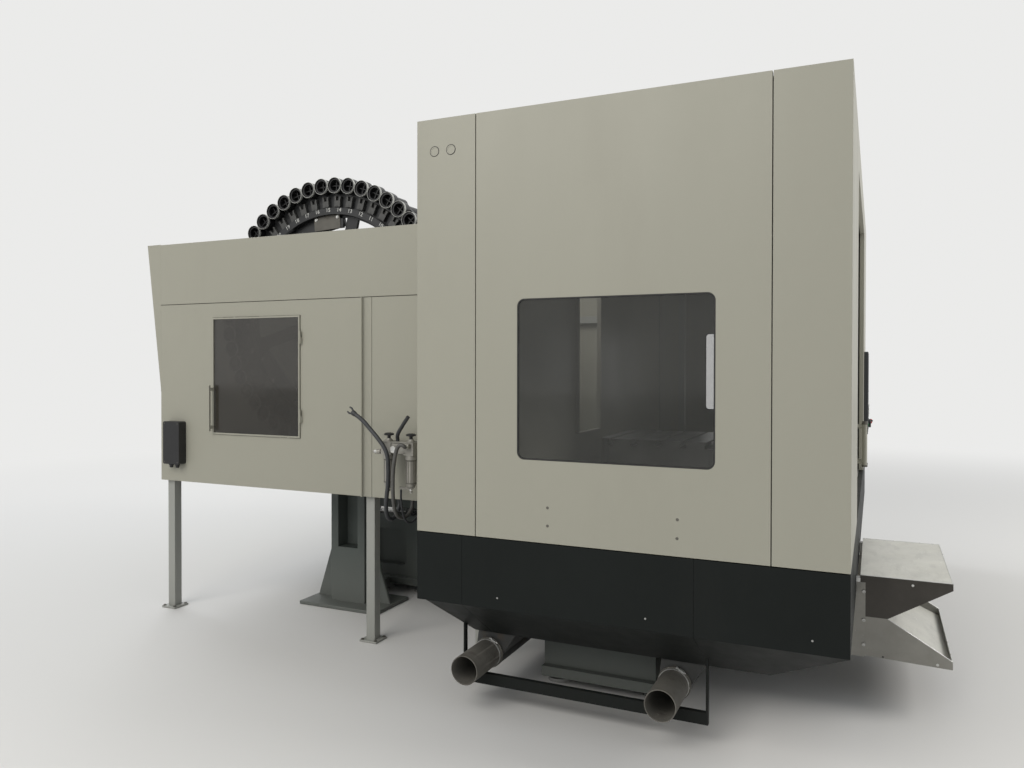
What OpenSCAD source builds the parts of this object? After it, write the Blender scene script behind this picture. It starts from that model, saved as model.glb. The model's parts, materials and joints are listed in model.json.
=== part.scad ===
// Horizontal machining center with a tall enclosure, a disc tool magazine and chip augers.
// X runs to the machine's right, Y to its back, Z up. The origin lies on the floor under the
// middle of the machining enclosure.

/* [Machining enclosure] */
// Width over the side walls
enclosure_w = 4370; // [4350:5:4400]
// Front plane, ahead of the origin
front_d = 950; // [940:5:970]
// Back of the enclosure, behind the origin
back_d = 954; // [950:1:960]
// Top of the walls
wall_top = 2820; // [2800:5:2860]
// Lower edge of the pale walls
wall_bottom = 877; // [870:1:885]
// Sheet thickness of walls and covers
sheet = 3; // [2:0.5:4]
// Depth of the folded edge round each panel
fold = 30; // [26:1:34]
// Open seam between two panels
seam = 4; // [2:1:6]
// Square tube of the inner frame
tube = 60; // [50:5:64]
// Front seam of the left wall
seam_front_y = -661; // [-680:1:-640]
// Back seam of the left wall
seam_back_y = 643; // [630:1:660]

/* [Side windows] */
// Window width
window_w = 877; // [800:1:900]
// Window height
window_h = 720; // [680:5:760]
// Lower edge of the window
window_z = 1243; // [1200:1:1280]
// Middle of the window along Y
window_y = -5; // [-30:5:30]
// Corner radius of the window
window_r = 34; // [25:1:45]
// Width of the window seal
seal_w = 7; // [5:1:10]
// Thickness of the window glass
glass_t = 8; // [6:1:10]

/* [Front doors] */
// Width of the door opening
opening_w = 2160; // [2120:10:2180]
// Top of the door opening
opening_top = 2650; // [2640:5:2660]
// Door leaf width
door_w = 1110; // [1100:1:1120]
// Door leaf thickness
door_t = 40; // [36:1:42]
// Distance of the door leaf behind the front plane
door_back = 40; // [38:1:44]
// Gap between the closed doors
door_gap = 4; // [2:1:6]
// Distance of the front ring behind the front plane
door_bay = 100; // [98:1:110]
// Door window width
door_window_w = 620; // [560:10:660]
// Door window height
door_window_h = 1000; // [900:10:1100]
// Lower edge of the door window
door_window_z = 1250; // [1200:10:1300]
// Length of a door handle
handle_l = 270; // [240:5:300]
// Radius of a door handle bar
handle_r = 14; // [11:1:16]

/* [Chip pan] */
// Height of the fold where the pan starts to slope
crease_z = 552; // [545:1:560]
// Height of the pan floor
pan_z = 325; // [318:1:332]
// How far the side and front slopes run inwards
slope_run = 325; // [310:5:340]
// Where the back slope starts
hopper_back = 906; // [895:1:915]
// How far the back slope runs inwards
back_run = 98; // [90:1:106]
// Front seam of the skirt
skirt_seam_front = -358; // [-380:1:-340]
// Back seam of the skirt
skirt_seam_back = 713; // [700:1:730]

/* [Chip augers] */
// Front auger, place along Y
front_auger_y = -200; // [-215:5:-190]
// Back auger, place along Y
rear_auger_y = 745; // [740:1:748]
// Auger axis height
auger_z = 210; // [205:1:215]
// Outer radius of a discharge tube
discharge_r = 70; // [66:1:72]
// Wall of a discharge tube
discharge_wall = 4; // [3:0.5:5]
// How far the discharge tubes stand out past the ends of the troughs
discharge_proud = 278; // [250:2:296]
// Trough radius
trough_r = 76; // [75:1:80]
// Flat side of the trough, from the auger axis
trough_lip = 150; // [140:5:155]
// Steep side of the trough, from the auger axis
trough_steep = 60; // [52:1:62]
// From the end of the troughs to the edge of the flat pan
trough_setback = 36; // [20:2:50]
// Auger flight radius
flight_r = 60; // [55:1:62]
// Auger pitch
flight_pitch = 160; // [140:5:180]
// Auger shaft radius
auger_shaft_r = 20; // [18:1:24]

/* [Chip chute] */
// Left side of the chute
chute_left = -1190; // [-1200:5:-1170]
// Right side of the chute
chute_right = -290; // [-310:5:-270]
// Top of the chute hood
hood_top = 640; // [630:2:645]
// Reach of the hood ahead of the origin
hood_reach = 1370; // [1350:5:1390]
// Gap between the front plane and the hood
chute_gap = 18; // [14:1:24]

/* [Bed and table] */
// Length of the crosswise bed
bed_l = 3200; // [3100:10:3300]
// Width of the crosswise bed
bed_w = 590; // [580:2:600]
// Middle of the table and the crosswise bed
table_y = 240; // [235:1:245]
// Top of the bed
bed_top = 560; // [558:1:564]
// Underside of the bed
bed_bottom = 60; // [54:1:66]
// Width of the stem of the bed
stem_w = 900; // [890:5:910]
// Back end of the stem
stem_end = 2750; // [2730:5:2780]
// Rail width
rail_w = 45; // [40:1:50]
// Rail height
rail_h = 40; // [36:1:44]
// Distance between the table rails
table_rail_pitch = 440; // [430:5:450]
// Distance between the column rails
column_rail_pitch = 760; // [740:5:770]
// Side of the square pallet
pallet_w = 800; // [760:10:820]
// Pallet surface
pallet_top = 1180; // [1170:1:1188]
// Radius of the turning base of the table
turn_base_r = 360; // [340:5:380]
// Height of the turning base
turn_base_h = 180; // [170:5:190]
// Top of the saddle
saddle_top = 820; // [812:1:828]
// Ball screw radius
screw_r = 20; // [18:1:22]

/* [Column and spindle] */
// Front face of the column
column_front = 1760; // [1755:1:1765]
// Depth of the column
column_d = 760; // [740:10:780]
// Width of the column's upper part
column_w = 700; // [680:5:704]
// Top of the column
column_top = 2500; // [2480:5:2510]
// Spindle axis height at rest
spindle_z = 1990; // [1988:1:1992]
// Spindle nose, behind the origin
nose_y = 1150; // [1148:1:1154]
// Ram width
ram_w = 400; // [380:5:410]
// Nose ring radius
nose_r = 150; // [140:2:160]
// Spindle radius
spindle_r = 65; // [62:0.5:68]
// Mouth radius of the tool taper
taper_r = 34.925; // [34.9:0.005:34.95]
// Distance between the rails on the column
head_rail_pitch = 480; // [470:5:490]

/* [Tool magazine] */
// Number of tool pots
pot_count = 50; // [48:1:50]
// Radius of the circle of pots
pot_circle_r = 865; // [860:1:870]
// Magazine axis along Y
magazine_y = 2290; // [2285:1:2295]
// Magazine axis height
magazine_z = 1990; // [1985:1:1995]
// Open end of the pots along X
pot_face_x = -1129; // [-1135:1:-1120]
// Outer radius of a pot collar
collar_r = 52.5; // [51:0.5:53]
// Length of a pot
pot_l = 200; // [190:2:204]
// Outer radius of the number ring
ring_r = 722; // [715:1:728]
// Width of the number ring
ring_w = 44; // [38:1:50]

/* [Tool changer enclosure] */
// Outer face of its side walls, from the middle
changer_x = 1479; // [1474:1:1484]
// Top of its walls
changer_top = 2480; // [2470:2:2500]
// Horizontal seam of the wall
changer_seam_z = 2070; // [2050:2:2090]
// Back end of the wall
changer_back = 3418; // [3410:2:3440]
// Front edge of the proud strip
strip_y = 1697; // [1690:1:1705]
// Width of the proud strip
strip_w = 65; // [55:1:75]
// How far the strip and the window door stand proud
proud = 8; // [6:1:12]
// Reach of the flared back cover beyond the wall
flare = 125; // [100:5:150]
// Height where the flare starts
flare_z = 1500; // [1480:5:1520]

/* [Access door] */
// Front edge of the door opening
access_y = 2225; // [2215:1:2235]
// Width of the door opening
access_w = 725; // [710:1:735]
// Lower edge of the door opening
access_z = 1205; // [1195:1:1215]
// Height of the door opening
access_h = 770; // [750:1:780]
// Leaf thickness
access_t = 25; // [20:1:28]
// Frame width round the glass
access_frame = 10; // [8:1:14]

/* [Electrical cabinet] */
// Front edge of the cabinet
cabinet_y = 1300; // [1250:10:1350]
// Width of the cabinet
cabinet_w = 1200; // [1100:10:1250]
// Height of the cabinet body
cabinet_h = 1900; // [1800:10:1950]
// Depth of the cabinet
cabinet_d = 420; // [380:5:450]
// Height of the plinth
plinth_h = 150; // [120:5:180]

/* [Operator panel] */
// Left edge of the panel
panel_x = 1310; // [1290:5:1330]
// Width of the panel
panel_w = 560; // [520:5:580]
// Lower edge of the panel
panel_z = 1130; // [1100:5:1160]
// Height of the panel
panel_h = 640; // [600:5:660]
// How far the panel stands proud
panel_proud = 30; // [24:1:36]

/* [Fits] */
// Running clearance round shafts and rails
run_gap = 0.3; // [0.2:0.05:0.4]
// Clearance of a running fit on the radius
fit_gap = 0.1; // [0.05:0.01:0.1]
// Clearance between a moving leaf and its frame
leaf_gap = 3; // [2:0.5:4]

/* [Hidden] */
$fn = 48;
eps = 0.01;
big = 6000;

// Enclosure planes
left_x = -enclosure_w / 2;
right_x = enclosure_w / 2;
front_y = -front_d;
back_y = back_d;
skirt_top = wall_bottom - seam;
frame_x = left_x + fold;
frame_back = back_y - fold;
ring_front = front_y + door_bay;
ring_top = wall_top - fold;
window_mid_z = window_z + window_h / 2;

// Bed planes
cross_front = table_y - bed_w / 2;
cross_back = table_y + bed_w / 2;
rail_top = bed_top + rail_h;
stem_half = stem_w / 2;
screw_z = bed_top + 20;
channel_d = 80;
channel_half = 62;

// Pan planes
slope_drop = crease_z - pan_z;
pan_left = left_x + slope_run;
pan_front = front_y + slope_run;
pan_back = hopper_back - back_run;
trough_end = -pan_left - trough_setback;
discharge_end = trough_end + discharge_proud;

// Changer planes
changer_frame_x = changer_x - fold;
post_front = 960;
post_back = changer_back - fold - tube;
changer_ring_top = changer_top - fold;

// Arm geometry: the change arm's axis lies between the spindle and the waiting tool
arm_r = 460;
arm_y = nose_y - 75;
arm_t = 30;
flange_r = 50.5;
claw_r = 75;
quill_r = 45;
gearbox_y = arm_y + arm_t + 55;
gearbox_l = 400;
transfer_x = -1084.5;
transfer_y = 1260.5;
pick_x = pot_face_x + pot_l + 15;
pick_y = magazine_y - pot_circle_r;

// Plain helpers
module rounded_2d(w, h, r) {
    square([w - 2 * r, h], center = true);
    square([w, h - 2 * r], center = true);
    for (x = [-1, 1], y = [-1, 1])
        translate([x * (w / 2 - r), y * (h / 2 - r)]) circle(r);
}

// A flat outline drawn as X and Z, made solid from Y = 0 to Y = d
module upright(d) {
    rotate([90, 0, 0]) translate([0, 0, -d]) linear_extrude(d) children();
}

// A flat outline drawn as Y and Z, made solid from X = 0 to X = d
module across(d) {
    rotate([90, 0, 90]) linear_extrude(d) children();
}

// A cylinder along X, Y
module rod_x(r, l) {
    rotate([0, 90, 0]) cylinder(r = r, h = l);
}
module rod_y(r, l) {
    rotate([-90, 0, 0]) cylinder(r = r, h = l);
}

module mirrored() {
    children();
    mirror([1, 0, 0]) children();
}

// A sheet tray with its outer face at Y = 0 and its folded edges behind
module tray(w, h, d = fold) {
    difference() {
        cube([w, d, h]);
        translate([sheet, sheet, sheet]) cube([w - 2 * sheet, d, h - 2 * sheet]);
    }
}

// The same tray on the left side, from the back edge y1 down to the front edge y0
module side_tray(x, y0, y1, z0, z1) {
    translate([x, y1, z0]) rotate([0, 0, -90]) tray(y1 - y0, z1 - z0);
}

// Walls of the machining enclosure
module window_cut(w, h, d) {
    translate([0, -eps, 0]) upright(d) rounded_2d(w, h, window_r);
}

module wall_window_cut() {
    translate([left_x, window_y, window_mid_z]) rotate([0, 0, -90])
        window_cut(window_w, window_h, fold + 1);
}

module wall_plug(y) {
    translate([left_x - 1.5, y, 2668]) rotate([0, 90, 0]) difference() {
        cylinder(r = 21.5, h = 1.5);
        translate([0, 0, -1]) cylinder(r = 17, h = 2);
    }
}

module left_wall() {
    side_tray(left_x, front_y, seam_front_y - seam / 2, wall_bottom, wall_top);
    difference() {
        side_tray(left_x, seam_front_y + seam / 2, seam_back_y - seam / 2, wall_bottom, wall_top);
        wall_window_cut();
    }
    side_tray(left_x, seam_back_y + seam / 2, back_y, wall_bottom, wall_top);
}

module left_wall_panels() {
    color("#c9c8bd") {
        left_wall();
        wall_plug(859);
        wall_plug(772);
    }
}

module right_wall_panels() {
    color("#c9c8bd") mirror([1, 0, 0]) left_wall();
}

module wall_glass() {
    translate([left_x + 1, window_y, window_mid_z]) rotate([0, 0, -90]) upright(glass_t)
        rounded_2d(window_w - 2 * seal_w, window_h - 2 * seal_w, window_r - seal_w);
}

module side_windows() {
    color("#3a4144", 0.5) mirrored() wall_glass();
}

module wall_seal() {
    translate([left_x, window_y, window_mid_z]) rotate([0, 0, -90]) difference() {
        upright(glass_t + 3) rounded_2d(window_w, window_h, window_r);
        translate([0, -eps, 0]) upright(glass_t + 4)
            rounded_2d(window_w - 2 * seal_w, window_h - 2 * seal_w, window_r - seal_w);
    }
}

module window_seals() {
    color("#1b1c1d") mirrored() wall_seal();
}

module front_block() {
    x0 = frame_x + seam;
    translate([x0, front_y, wall_bottom]) tray(-opening_w / 2 - x0, wall_top - wall_bottom);
}

module panel_cut() {
    translate([panel_x + 10, front_y - 1, panel_z + 10]) cube([panel_w - 20, fold + 2, panel_h - 20]);
}

module front_panels() {
    color("#c9c8bd") {
        front_block();
        difference() {
            mirror([1, 0, 0]) front_block();
            panel_cut();
        }
        translate([-opening_w / 2 + seam, front_y, opening_top])
            tray(opening_w - 2 * seam, wall_top - opening_top);
    }
}

module roof_panels() {
    third = (enclosure_w - 2 * fold - 2 * seam) / 3;
    depth = frame_back - ring_front;
    color("#c4c3b9") for (i = [0:2])
        translate([frame_x + i * (third + seam), ring_front, ring_top]) {
            difference() {
                cube([third, depth, 18]);
                translate([sheet, sheet, sheet]) cube([third - 2 * sheet, depth - 2 * sheet, 20]);
            }
            for (k = [1:3])
                translate([k * third / 4 - 20, 60, 0]) cube([40, depth - 120, 14]);
        }
}

// Square tube frame inside the walls
cross_beams = [-760, 700];
module enclosure_frame() {
    color("#8f918a") {
        inner = enclosure_w - 2 * fold;
        for (z = [skirt_top, ring_top - tube]) {
            for (x = [frame_x, -frame_x - tube])
                translate([x, ring_front, z]) cube([tube, frame_back - ring_front, tube]);
            for (y = [ring_front, frame_back - tube])
                translate([frame_x, y, z]) cube([inner, tube, tube]);
        }
        for (x = [frame_x, -frame_x - tube]) {
            translate([x, front_y + fold, skirt_top])
                cube([tube, ring_front + tube - front_y - fold, ring_top - skirt_top]);
            for (y = [seam_front_y - tube / 2, seam_back_y - tube / 2, frame_back - tube])
                translate([x, y, skirt_top]) cube([tube, tube, ring_top - skirt_top]);
        }
        for (x = cross_beams)
            translate([x, ring_front, ring_top - tube]) cube([tube, frame_back - ring_front, tube]);
    }
}

// Back of the machining enclosure with the passage for the ram
ram_slot_w = ram_w + 70;
ram_slot_z = 1195;
ram_slot_h = 1210;
module back_wall() {
    inner = enclosure_w - 2 * fold - 2 * tube;
    plate_y = frame_back - tube - sheet;
    color("#b9b9af") {
        difference() {
            union() {
                translate([-inner / 2, plate_y, skirt_top]) cube([inner, sheet, ring_top - skirt_top]);
                translate([-stem_half, plate_y, bed_top]) cube([stem_w, sheet, skirt_top - bed_top]);
                translate([-ram_slot_w / 2 - sheet, plate_y - 30, ram_slot_z - sheet])
                    cube([ram_slot_w + 2 * sheet, 30 + sheet, ram_slot_h + 2 * sheet]);
            }
            translate([-ram_slot_w / 2, plate_y - 40, ram_slot_z])
                cube([ram_slot_w, 60, ram_slot_h]);
            for (x = cross_beams)
                translate([x, plate_y - 1, ring_top - tube]) cube([tube, 10, tube + 1]);
        }
        mirrored() translate([-changer_x - seam, back_y, wall_bottom]) rotate([0, 0, 180])
            tray(enclosure_w / 2 - fold - 2 * seam - changer_x, wall_top - wall_bottom);
        translate([changer_x, back_y, changer_top + seam]) rotate([0, 0, 180])
            tray(2 * changer_x, wall_top - changer_top - seam);
    }
}

// Door rails over and under the two leaves
rib_t = 6;
rib_y = door_back + door_t / 2;
track_z = opening_top + 40;
module door_tracks() {
    half = -frame_x - tube - 5;
    color("#9a9c98") {
        translate([-half, front_y + fold, track_z]) cube([2 * half, door_bay - fold, 8]);
        translate([-half, front_y + rib_y - rib_t / 2, track_z - 25]) cube([2 * half, rib_t, 25]);
        translate([-half, ring_front - 6, track_z]) cube([2 * half, 6, 70]);
        translate([-half, front_y + fold + 2, skirt_top]) cube([2 * half, door_bay - fold - 2, 8]);
        translate([-half, front_y + rib_y - rib_t / 2, skirt_top + 8]) cube([2 * half, rib_t, 15]);
    }
}

door_z = skirt_top + 8 + 5;
door_top = track_z - 6;
bar_h = 40;
module rib_groove(z, h) {
    translate([-big / 2, rib_y - door_back - rib_t / 2 - run_gap, z])
        cube([big, rib_t + 2 * run_gap, h]);
}

// A door handle: a bar on two stand-offs
module door_handle() {
    reach = 62;
    for (z = [25, handle_l - 25])
        translate([0, -reach, z]) rod_y(9, reach);
    translate([0, -reach, 0]) cylinder(r = handle_r, h = handle_l);
}

// The left leaf, drawn at its closed place
module door_leaf() {
    leaf_h = door_top - door_z;
    win_mid = door_window_z + door_window_h / 2 - door_z;
    translate([-door_w, front_y + door_back, door_z]) {
        difference() {
            union() {
                tray(door_w - door_gap / 2, leaf_h, door_t);
                cube([door_w - door_gap / 2, door_t, bar_h]);
                translate([0, 0, leaf_h - bar_h]) cube([door_w - door_gap / 2, door_t, bar_h]);
                translate([door_w / 2, 0, win_mid]) upright(door_t)
                    rounded_2d(door_window_w + 60, door_window_h + 60, window_r + 30);
            }
            translate([door_w / 2, 0, win_mid])
                window_cut(door_window_w, door_window_h, door_t + 1);
            rib_groove(-1, 15);
            rib_groove(leaf_h - 22, 23);
        }
    }
}

module leaf_glass() {
    win_mid = door_window_z + door_window_h / 2;
    translate([-door_w / 2, front_y + door_back + 4, win_mid]) upright(glass_t)
        rounded_2d(door_window_w, door_window_h, window_r);
}

module left_door() {
    color("#c9c8bd") door_leaf();
    color("#1d1e20") translate([-60, front_y + door_back, 1040]) door_handle();
}

module right_door() {
    color("#c9c8bd") mirror([1, 0, 0]) door_leaf();
    color("#1d1e20") translate([60, front_y + door_back, 1040]) door_handle();
}

module left_door_window() {
    color("#3a4144", 0.5) leaf_glass();
}

module right_door_window() {
    color("#3a4144", 0.5) mirror([1, 0, 0]) leaf_glass();
}

// Skirt walls and the sloped pan under them, drawn as inward run and height
flange = fold + tube;
module skirt_wall_2d() {
    translate([0, crease_z]) square([sheet, skirt_top - crease_z]);
    translate([0, skirt_top - sheet]) square([flange, sheet]);
}

module slope_2d(run) {
    rise = sheet * norm([run, slope_drop]) / run;
    polygon([[0, crease_z], [run, pan_z], [run, pan_z + rise], [0, crease_z + rise]]);
}

// Plan outline of one side: the walls' part and the slope's part
module side_wall_plan() {
    polygon([[left_x, front_y], [left_x + flange, front_y + flange],
        [left_x + flange, back_y - flange], [left_x, back_y]]);
}

module side_slope_plan() {
    polygon([[left_x, front_y], [pan_left, pan_front], [pan_left, pan_back],
        [left_x, hopper_back]]);
}

module plan_cut() {
    translate([0, 0, pan_z - 10]) linear_extrude(skirt_top - pan_z + 20) children();
}

// Outline drawn as inward run and height, made solid along Y on the left side
module left_run() {
    translate([left_x, back_y, 0]) rotate([90, 0, 0]) linear_extrude(back_y - front_y) children();
}

module left_skirt() {
    intersection() {
        left_run() skirt_wall_2d();
        plan_cut() side_wall_plan();
    }
    intersection() {
        left_run() slope_2d(slope_run);
        plan_cut() side_slope_plan();
    }
}

module skirt_seam(y) {
    translate([left_x - 1, y - 0.5, pan_z - 10]) cube([slope_run + 10, 1, skirt_top - pan_z + 20]);
}

module side_skirts() {
    color("#2f3536") mirrored() difference() {
        left_skirt();
        skirt_seam(skirt_seam_front);
        skirt_seam(skirt_seam_back);
    }
    pan_rail();
}

module front_run() {
    translate([left_x, front_y, 0]) rotate([90, 0, 90]) linear_extrude(enclosure_w) children();
}

module back_run_solid(y) {
    translate([right_x, y, 0]) rotate([90, 0, -90]) linear_extrude(enclosure_w) children();
}

module end_skirts() {
    color("#2f3536") {
        difference() {
            union() {
                intersection() {
                    front_run() skirt_wall_2d();
                    plan_cut() polygon([[left_x, front_y], [right_x, front_y],
                        [right_x - flange, front_y + flange], [left_x + flange, front_y + flange]]);
                }
                intersection() {
                    front_run() slope_2d(slope_run);
                    plan_cut() polygon([[left_x, front_y], [right_x, front_y],
                        [-pan_left, pan_front], [pan_left, pan_front]]);
                }
            }
            translate([chute_left + 40, front_y + 12, pan_z])
                cube([chute_right - chute_left - 80, 96, crease_z - pan_z]);
        }
        difference() {
            union() {
                intersection() {
                    back_run_solid(back_y) skirt_wall_2d();
                    plan_cut() polygon([[left_x, back_y], [right_x, back_y],
                        [right_x - flange, back_y - flange], [left_x + flange, back_y - flange]]);
                }
                intersection() {
                    back_run_solid(hopper_back) slope_2d(back_run);
                    plan_cut() polygon([[left_x, hopper_back], [right_x, hopper_back],
                        [-pan_left, pan_back], [pan_left, pan_back]]);
                }
                translate([left_x + sheet, hopper_back, crease_z])
                    cube([enclosure_w - 2 * sheet, back_y - hopper_back, sheet]);
            }
            translate([-stem_half, pan_back - 10, pan_z - 10])
                cube([stem_w, back_y - pan_back + 20, skirt_top - pan_z - sheet + 10]);
        }
    }
}

module trough_mouth(y) {
    lip = trough_lip - sheet;
    translate([-trough_end + 4, y - lip, pan_z - 5])
        cube([2 * trough_end - 8, lip + trough_steep - sheet, 20]);
}

module pan_floor() {
    color("#3b4142") difference() {
        translate([pan_left, pan_front, pan_z]) cube([-2 * pan_left, pan_back - pan_front, sheet]);
        translate([-bed_l / 2, cross_front, pan_z - 5]) cube([bed_l, bed_w, 20]);
        translate([-stem_half, cross_back - 1, pan_z - 5]) cube([stem_w, tunnel_y0 - cross_back + 1, 20]);
        trough_mouth(front_auger_y);
        trough_mouth(rear_auger_y);
    }
}

// Auger troughs, drawn as Y and Z from the auger axis
module trough_2d(r, t) {
    top = pan_z - auger_z;
    circle(r);
    polygon([[-trough_lip + t, top], [-r, 0], [r, 0], [trough_steep - t, top]]);
}

module trough(y) {
    tube_bore = discharge_r - discharge_wall;
    translate([-trough_end, y, auger_z]) difference() {
        across(2 * trough_end) trough_2d(trough_r, 0);
        translate([4, 0, 0]) across(2 * trough_end - 8) union() {
            trough_2d(trough_r - sheet, sheet);
            translate([-trough_lip + sheet, pan_z - auger_z - eps])
                square([trough_lip + trough_steep - 2 * sheet, 10]);
        }
        translate([-1, 0, 0]) rod_x(tube_bore, 6);
        translate([2 * trough_end - 5, 0, 0]) rod_x(auger_shaft_r + run_gap, 6);
    }
}

module auger_troughs() {
    color("#6e6f69") {
        trough(front_auger_y);
        trough(rear_auger_y);
    }
}

module discharge_tube(y) {
    translate([-discharge_end, y, auger_z]) difference() {
        union() {
            rod_x(discharge_r, discharge_end - trough_end);
            translate([discharge_end - trough_end - 14, 0, 0]) rod_x(discharge_r + 7, 12);
        }
        translate([-1, 0, 0]) rod_x(discharge_r - discharge_wall, discharge_end);
    }
}

module discharge_tubes() {
    color("#9b978c") {
        discharge_tube(front_auger_y);
        discharge_tube(rear_auger_y);
    }
}

module auger_motor(y) {
    translate([trough_end, y, auger_z]) difference() {
        union() {
            translate([0, -75, -75]) cube([130, 150, 150]);
            translate([130, 0, 0]) rod_x(58, 200);
            for (x = [150:25:300])
                translate([x, 0, 0]) rod_x(64, 8);
            translate([190, -35, 40]) cube([80, 70, 45]);
        }
        translate([-1, 0, 0]) rod_x(auger_shaft_r + run_gap, 62);
    }
}

module auger_motors() {
    color("#4a5a63") {
        auger_motor(front_auger_y);
        auger_motor(rear_auger_y);
    }
}

// One auger: a shaft and a helical flight round it
flight_steps = 12;
auger_l = 2 * trough_end - 30;
flight_turns = (auger_l - 60) / flight_pitch;
function flight_ring(i, r, side) =
    let (a = 360 * i / flight_steps, h = flight_pitch * i / flight_steps + side * 2)
    [h, r * cos(a), r * sin(a)];
module flight() {
    steps = floor(flight_turns * flight_steps);
    inner_r = (auger_shaft_r + fit_gap) / cos(180 / flight_steps);
    points = [for (i = [0:steps]) each [flight_ring(i, inner_r, -1), flight_ring(i, flight_r, -1),
        flight_ring(i, flight_r, 1), flight_ring(i, inner_r, 1)]];
    // Both faces are split along the same diagonal, so the flight keeps its thickness
    sides = [for (i = [0:steps - 1]) let (a = 4 * i, b = a + 4)
        each [[a, a + 1, b + 1], [a, b + 1, b], [a + 1, a + 2, b + 2, b + 1],
            [a + 3, b + 2, a + 2], [a + 3, b + 3, b + 2], [a + 3, a, b, b + 3]]];
    polyhedron(points, concat([[3, 2, 1, 0]], sides,
        [[4 * steps, 4 * steps + 1, 4 * steps + 2, 4 * steps + 3]]), convexity = 10);
}

module auger(y) {
    color("#7d7b73") translate([0, y, auger_z]) {
        translate([-trough_end + 30, 0, 0]) flight();
        translate([-trough_end + 20, 0, 0]) rod_x(auger_shaft_r, 2 * trough_end + 30);
    }
}

module front_auger() {
    auger(front_auger_y);
}

module rear_auger() {
    auger(rear_auger_y);
}

// Cross rail under the tubes, hung from the pan
rail_x = -1950;
rail_t = 25;
function slope_at(x) = crease_z - (x - left_x) * slope_drop / slope_run;  // underside of the slope
module pan_rail() {
    y0 = front_auger_y - 175;
    y1 = pan_back + 20;
    color("#3f4443") {
        difference() {
            translate([rail_x, y0, 96]) cube([rail_t, y1 - y0, 54]);
            for (y = [front_auger_y, rear_auger_y])
                translate([rail_x - 1, y, auger_z]) rod_x(discharge_r + run_gap, rail_t + 2);
        }
        for (y = [y0, y1 - 10])
            translate([0, y, 0]) upright(10) polygon([[rail_x, 100], [rail_x + rail_t, 100],
                [rail_x + rail_t, slope_at(rail_x + rail_t) + sheet / 2], [rail_x, slope_at(rail_x) + sheet / 2]]);
    }
}

// Chip chute: a hood on brackets and an open tray below it
tray_back_z = 437;
tray_front_z = 270;
tray_low_z = 232;
hood_slope = (hood_reach + front_y - chute_gap) * 0.694;
module hood_side_2d() {
    polygon([[front_y - chute_gap, hood_top], [-hood_reach, hood_top], [-hood_reach, hood_top - 34],
        [-hood_reach + hood_slope, tray_back_z], [front_y - chute_gap, tray_back_z]]);
}

module tray_side_2d() {
    polygon([[front_y - chute_gap - 12, tray_back_z], [-hood_reach + hood_slope, tray_back_z],
        [-hood_reach, tray_front_z], [-hood_reach, tray_low_z],
        [front_y - chute_gap - 12, tray_low_z + 14]]);
}

module chip_chute() {
    w = chute_right - chute_left;
    y0 = front_y - chute_gap;
    color("#b3b3aa") translate([chute_left, 0, 0]) {
        for (x = [0, w - sheet])
            translate([x, 0, 0]) across(sheet) hood_side_2d();
        translate([0, -hood_reach, hood_top - sheet]) cube([w, hood_reach + y0, sheet]);
        translate([0, -hood_reach, hood_top - 34]) cube([w, sheet, 34]);
        for (x = [0, w - 44])
            translate([x, y0, hood_top - 76]) cube([44, chute_gap, 58]);
    }
    color("#77786f") translate([chute_left, 0, 0]) {
        for (x = [0, w - sheet])
            translate([x, 0, 0]) across(sheet) tray_side_2d();
        across(w) polygon([[-hood_reach, tray_low_z], [front_y + 90, 455], [front_y + 90, 455 + sheet],
            [-hood_reach, tray_low_z + sheet]]);
        translate([0, -hood_reach, tray_low_z]) cube([w, sheet, tray_front_z - tray_low_z]);
    }
}

// Bed casting, T-shaped, with cored sides and a tunnel for the back auger
foot_w = 40;
tunnel_y0 = cross_back + 15;
tunnel_y1 = rear_auger_y + trough_r + 40;
module core_window(w, h, d) {
    translate([0, -eps, 0]) upright(d) rounded_2d(w, h, 40);
}

module bed_casting() {
    bed_h = bed_top - bed_bottom;
    color("#59615c") difference() {
        union() {
            translate([-bed_l / 2, cross_front, bed_bottom]) cube([bed_l, bed_w, bed_h]);
            translate([-bed_l / 2 - foot_w, cross_front - foot_w, bed_bottom])
                cube([bed_l + 2 * foot_w, bed_w + foot_w, 50]);
            translate([-stem_half, cross_back - eps, bed_bottom])
                cube([stem_w, stem_end - cross_back, bed_h]);
            translate([-stem_half - foot_w, cross_back - eps, bed_bottom])
                cube([stem_w + 2 * foot_w, stem_end - cross_back + foot_w, 50]);
        }
        translate([-stem_half - 60, tunnel_y0, bed_bottom + 50])
            cube([stem_w + 120, tunnel_y1 - tunnel_y0, pan_z + 20 - bed_bottom - 50]);
        translate([-bed_l / 2 + 50, table_y - channel_half, bed_top - channel_d])
            cube([bed_l - 100, 2 * channel_half, channel_d + 1]);
        translate([-channel_half, cross_back + 330, bed_top - channel_d])
            cube([2 * channel_half, stem_end - cross_back - 360, channel_d + 1]);
        for (x = [-1300, -900, -500, 500, 900, 1300])
            translate([x, cross_front, 210]) core_window(260, 150, 60);
        for (y = [1250, 1750, 2250])
            mirrored() translate([-stem_half, y, 320]) rotate([0, 0, -90]) core_window(300, 260, 60);
    }
}

feet_x = [-1500, -750, 0, 750, 1500];
module levelling_foot() {
    cylinder(r = 60, h = 18);
    cylinder(r = 18, h = bed_bottom);
    translate([0, 0, bed_bottom - 22]) cylinder(r = 30, h = 22, $fn = 6);
}

module levelling_feet() {
    color("#8a8d8b") {
        for (x = feet_x, y = [cross_front + 25, cross_back - 45])
            translate([x, y, 0]) levelling_foot();
        for (x = [-stem_half + 60, stem_half - 60], y = [1250, 2000, stem_end - 60])
            translate([x, y, 0]) levelling_foot();
    }
}

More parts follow.
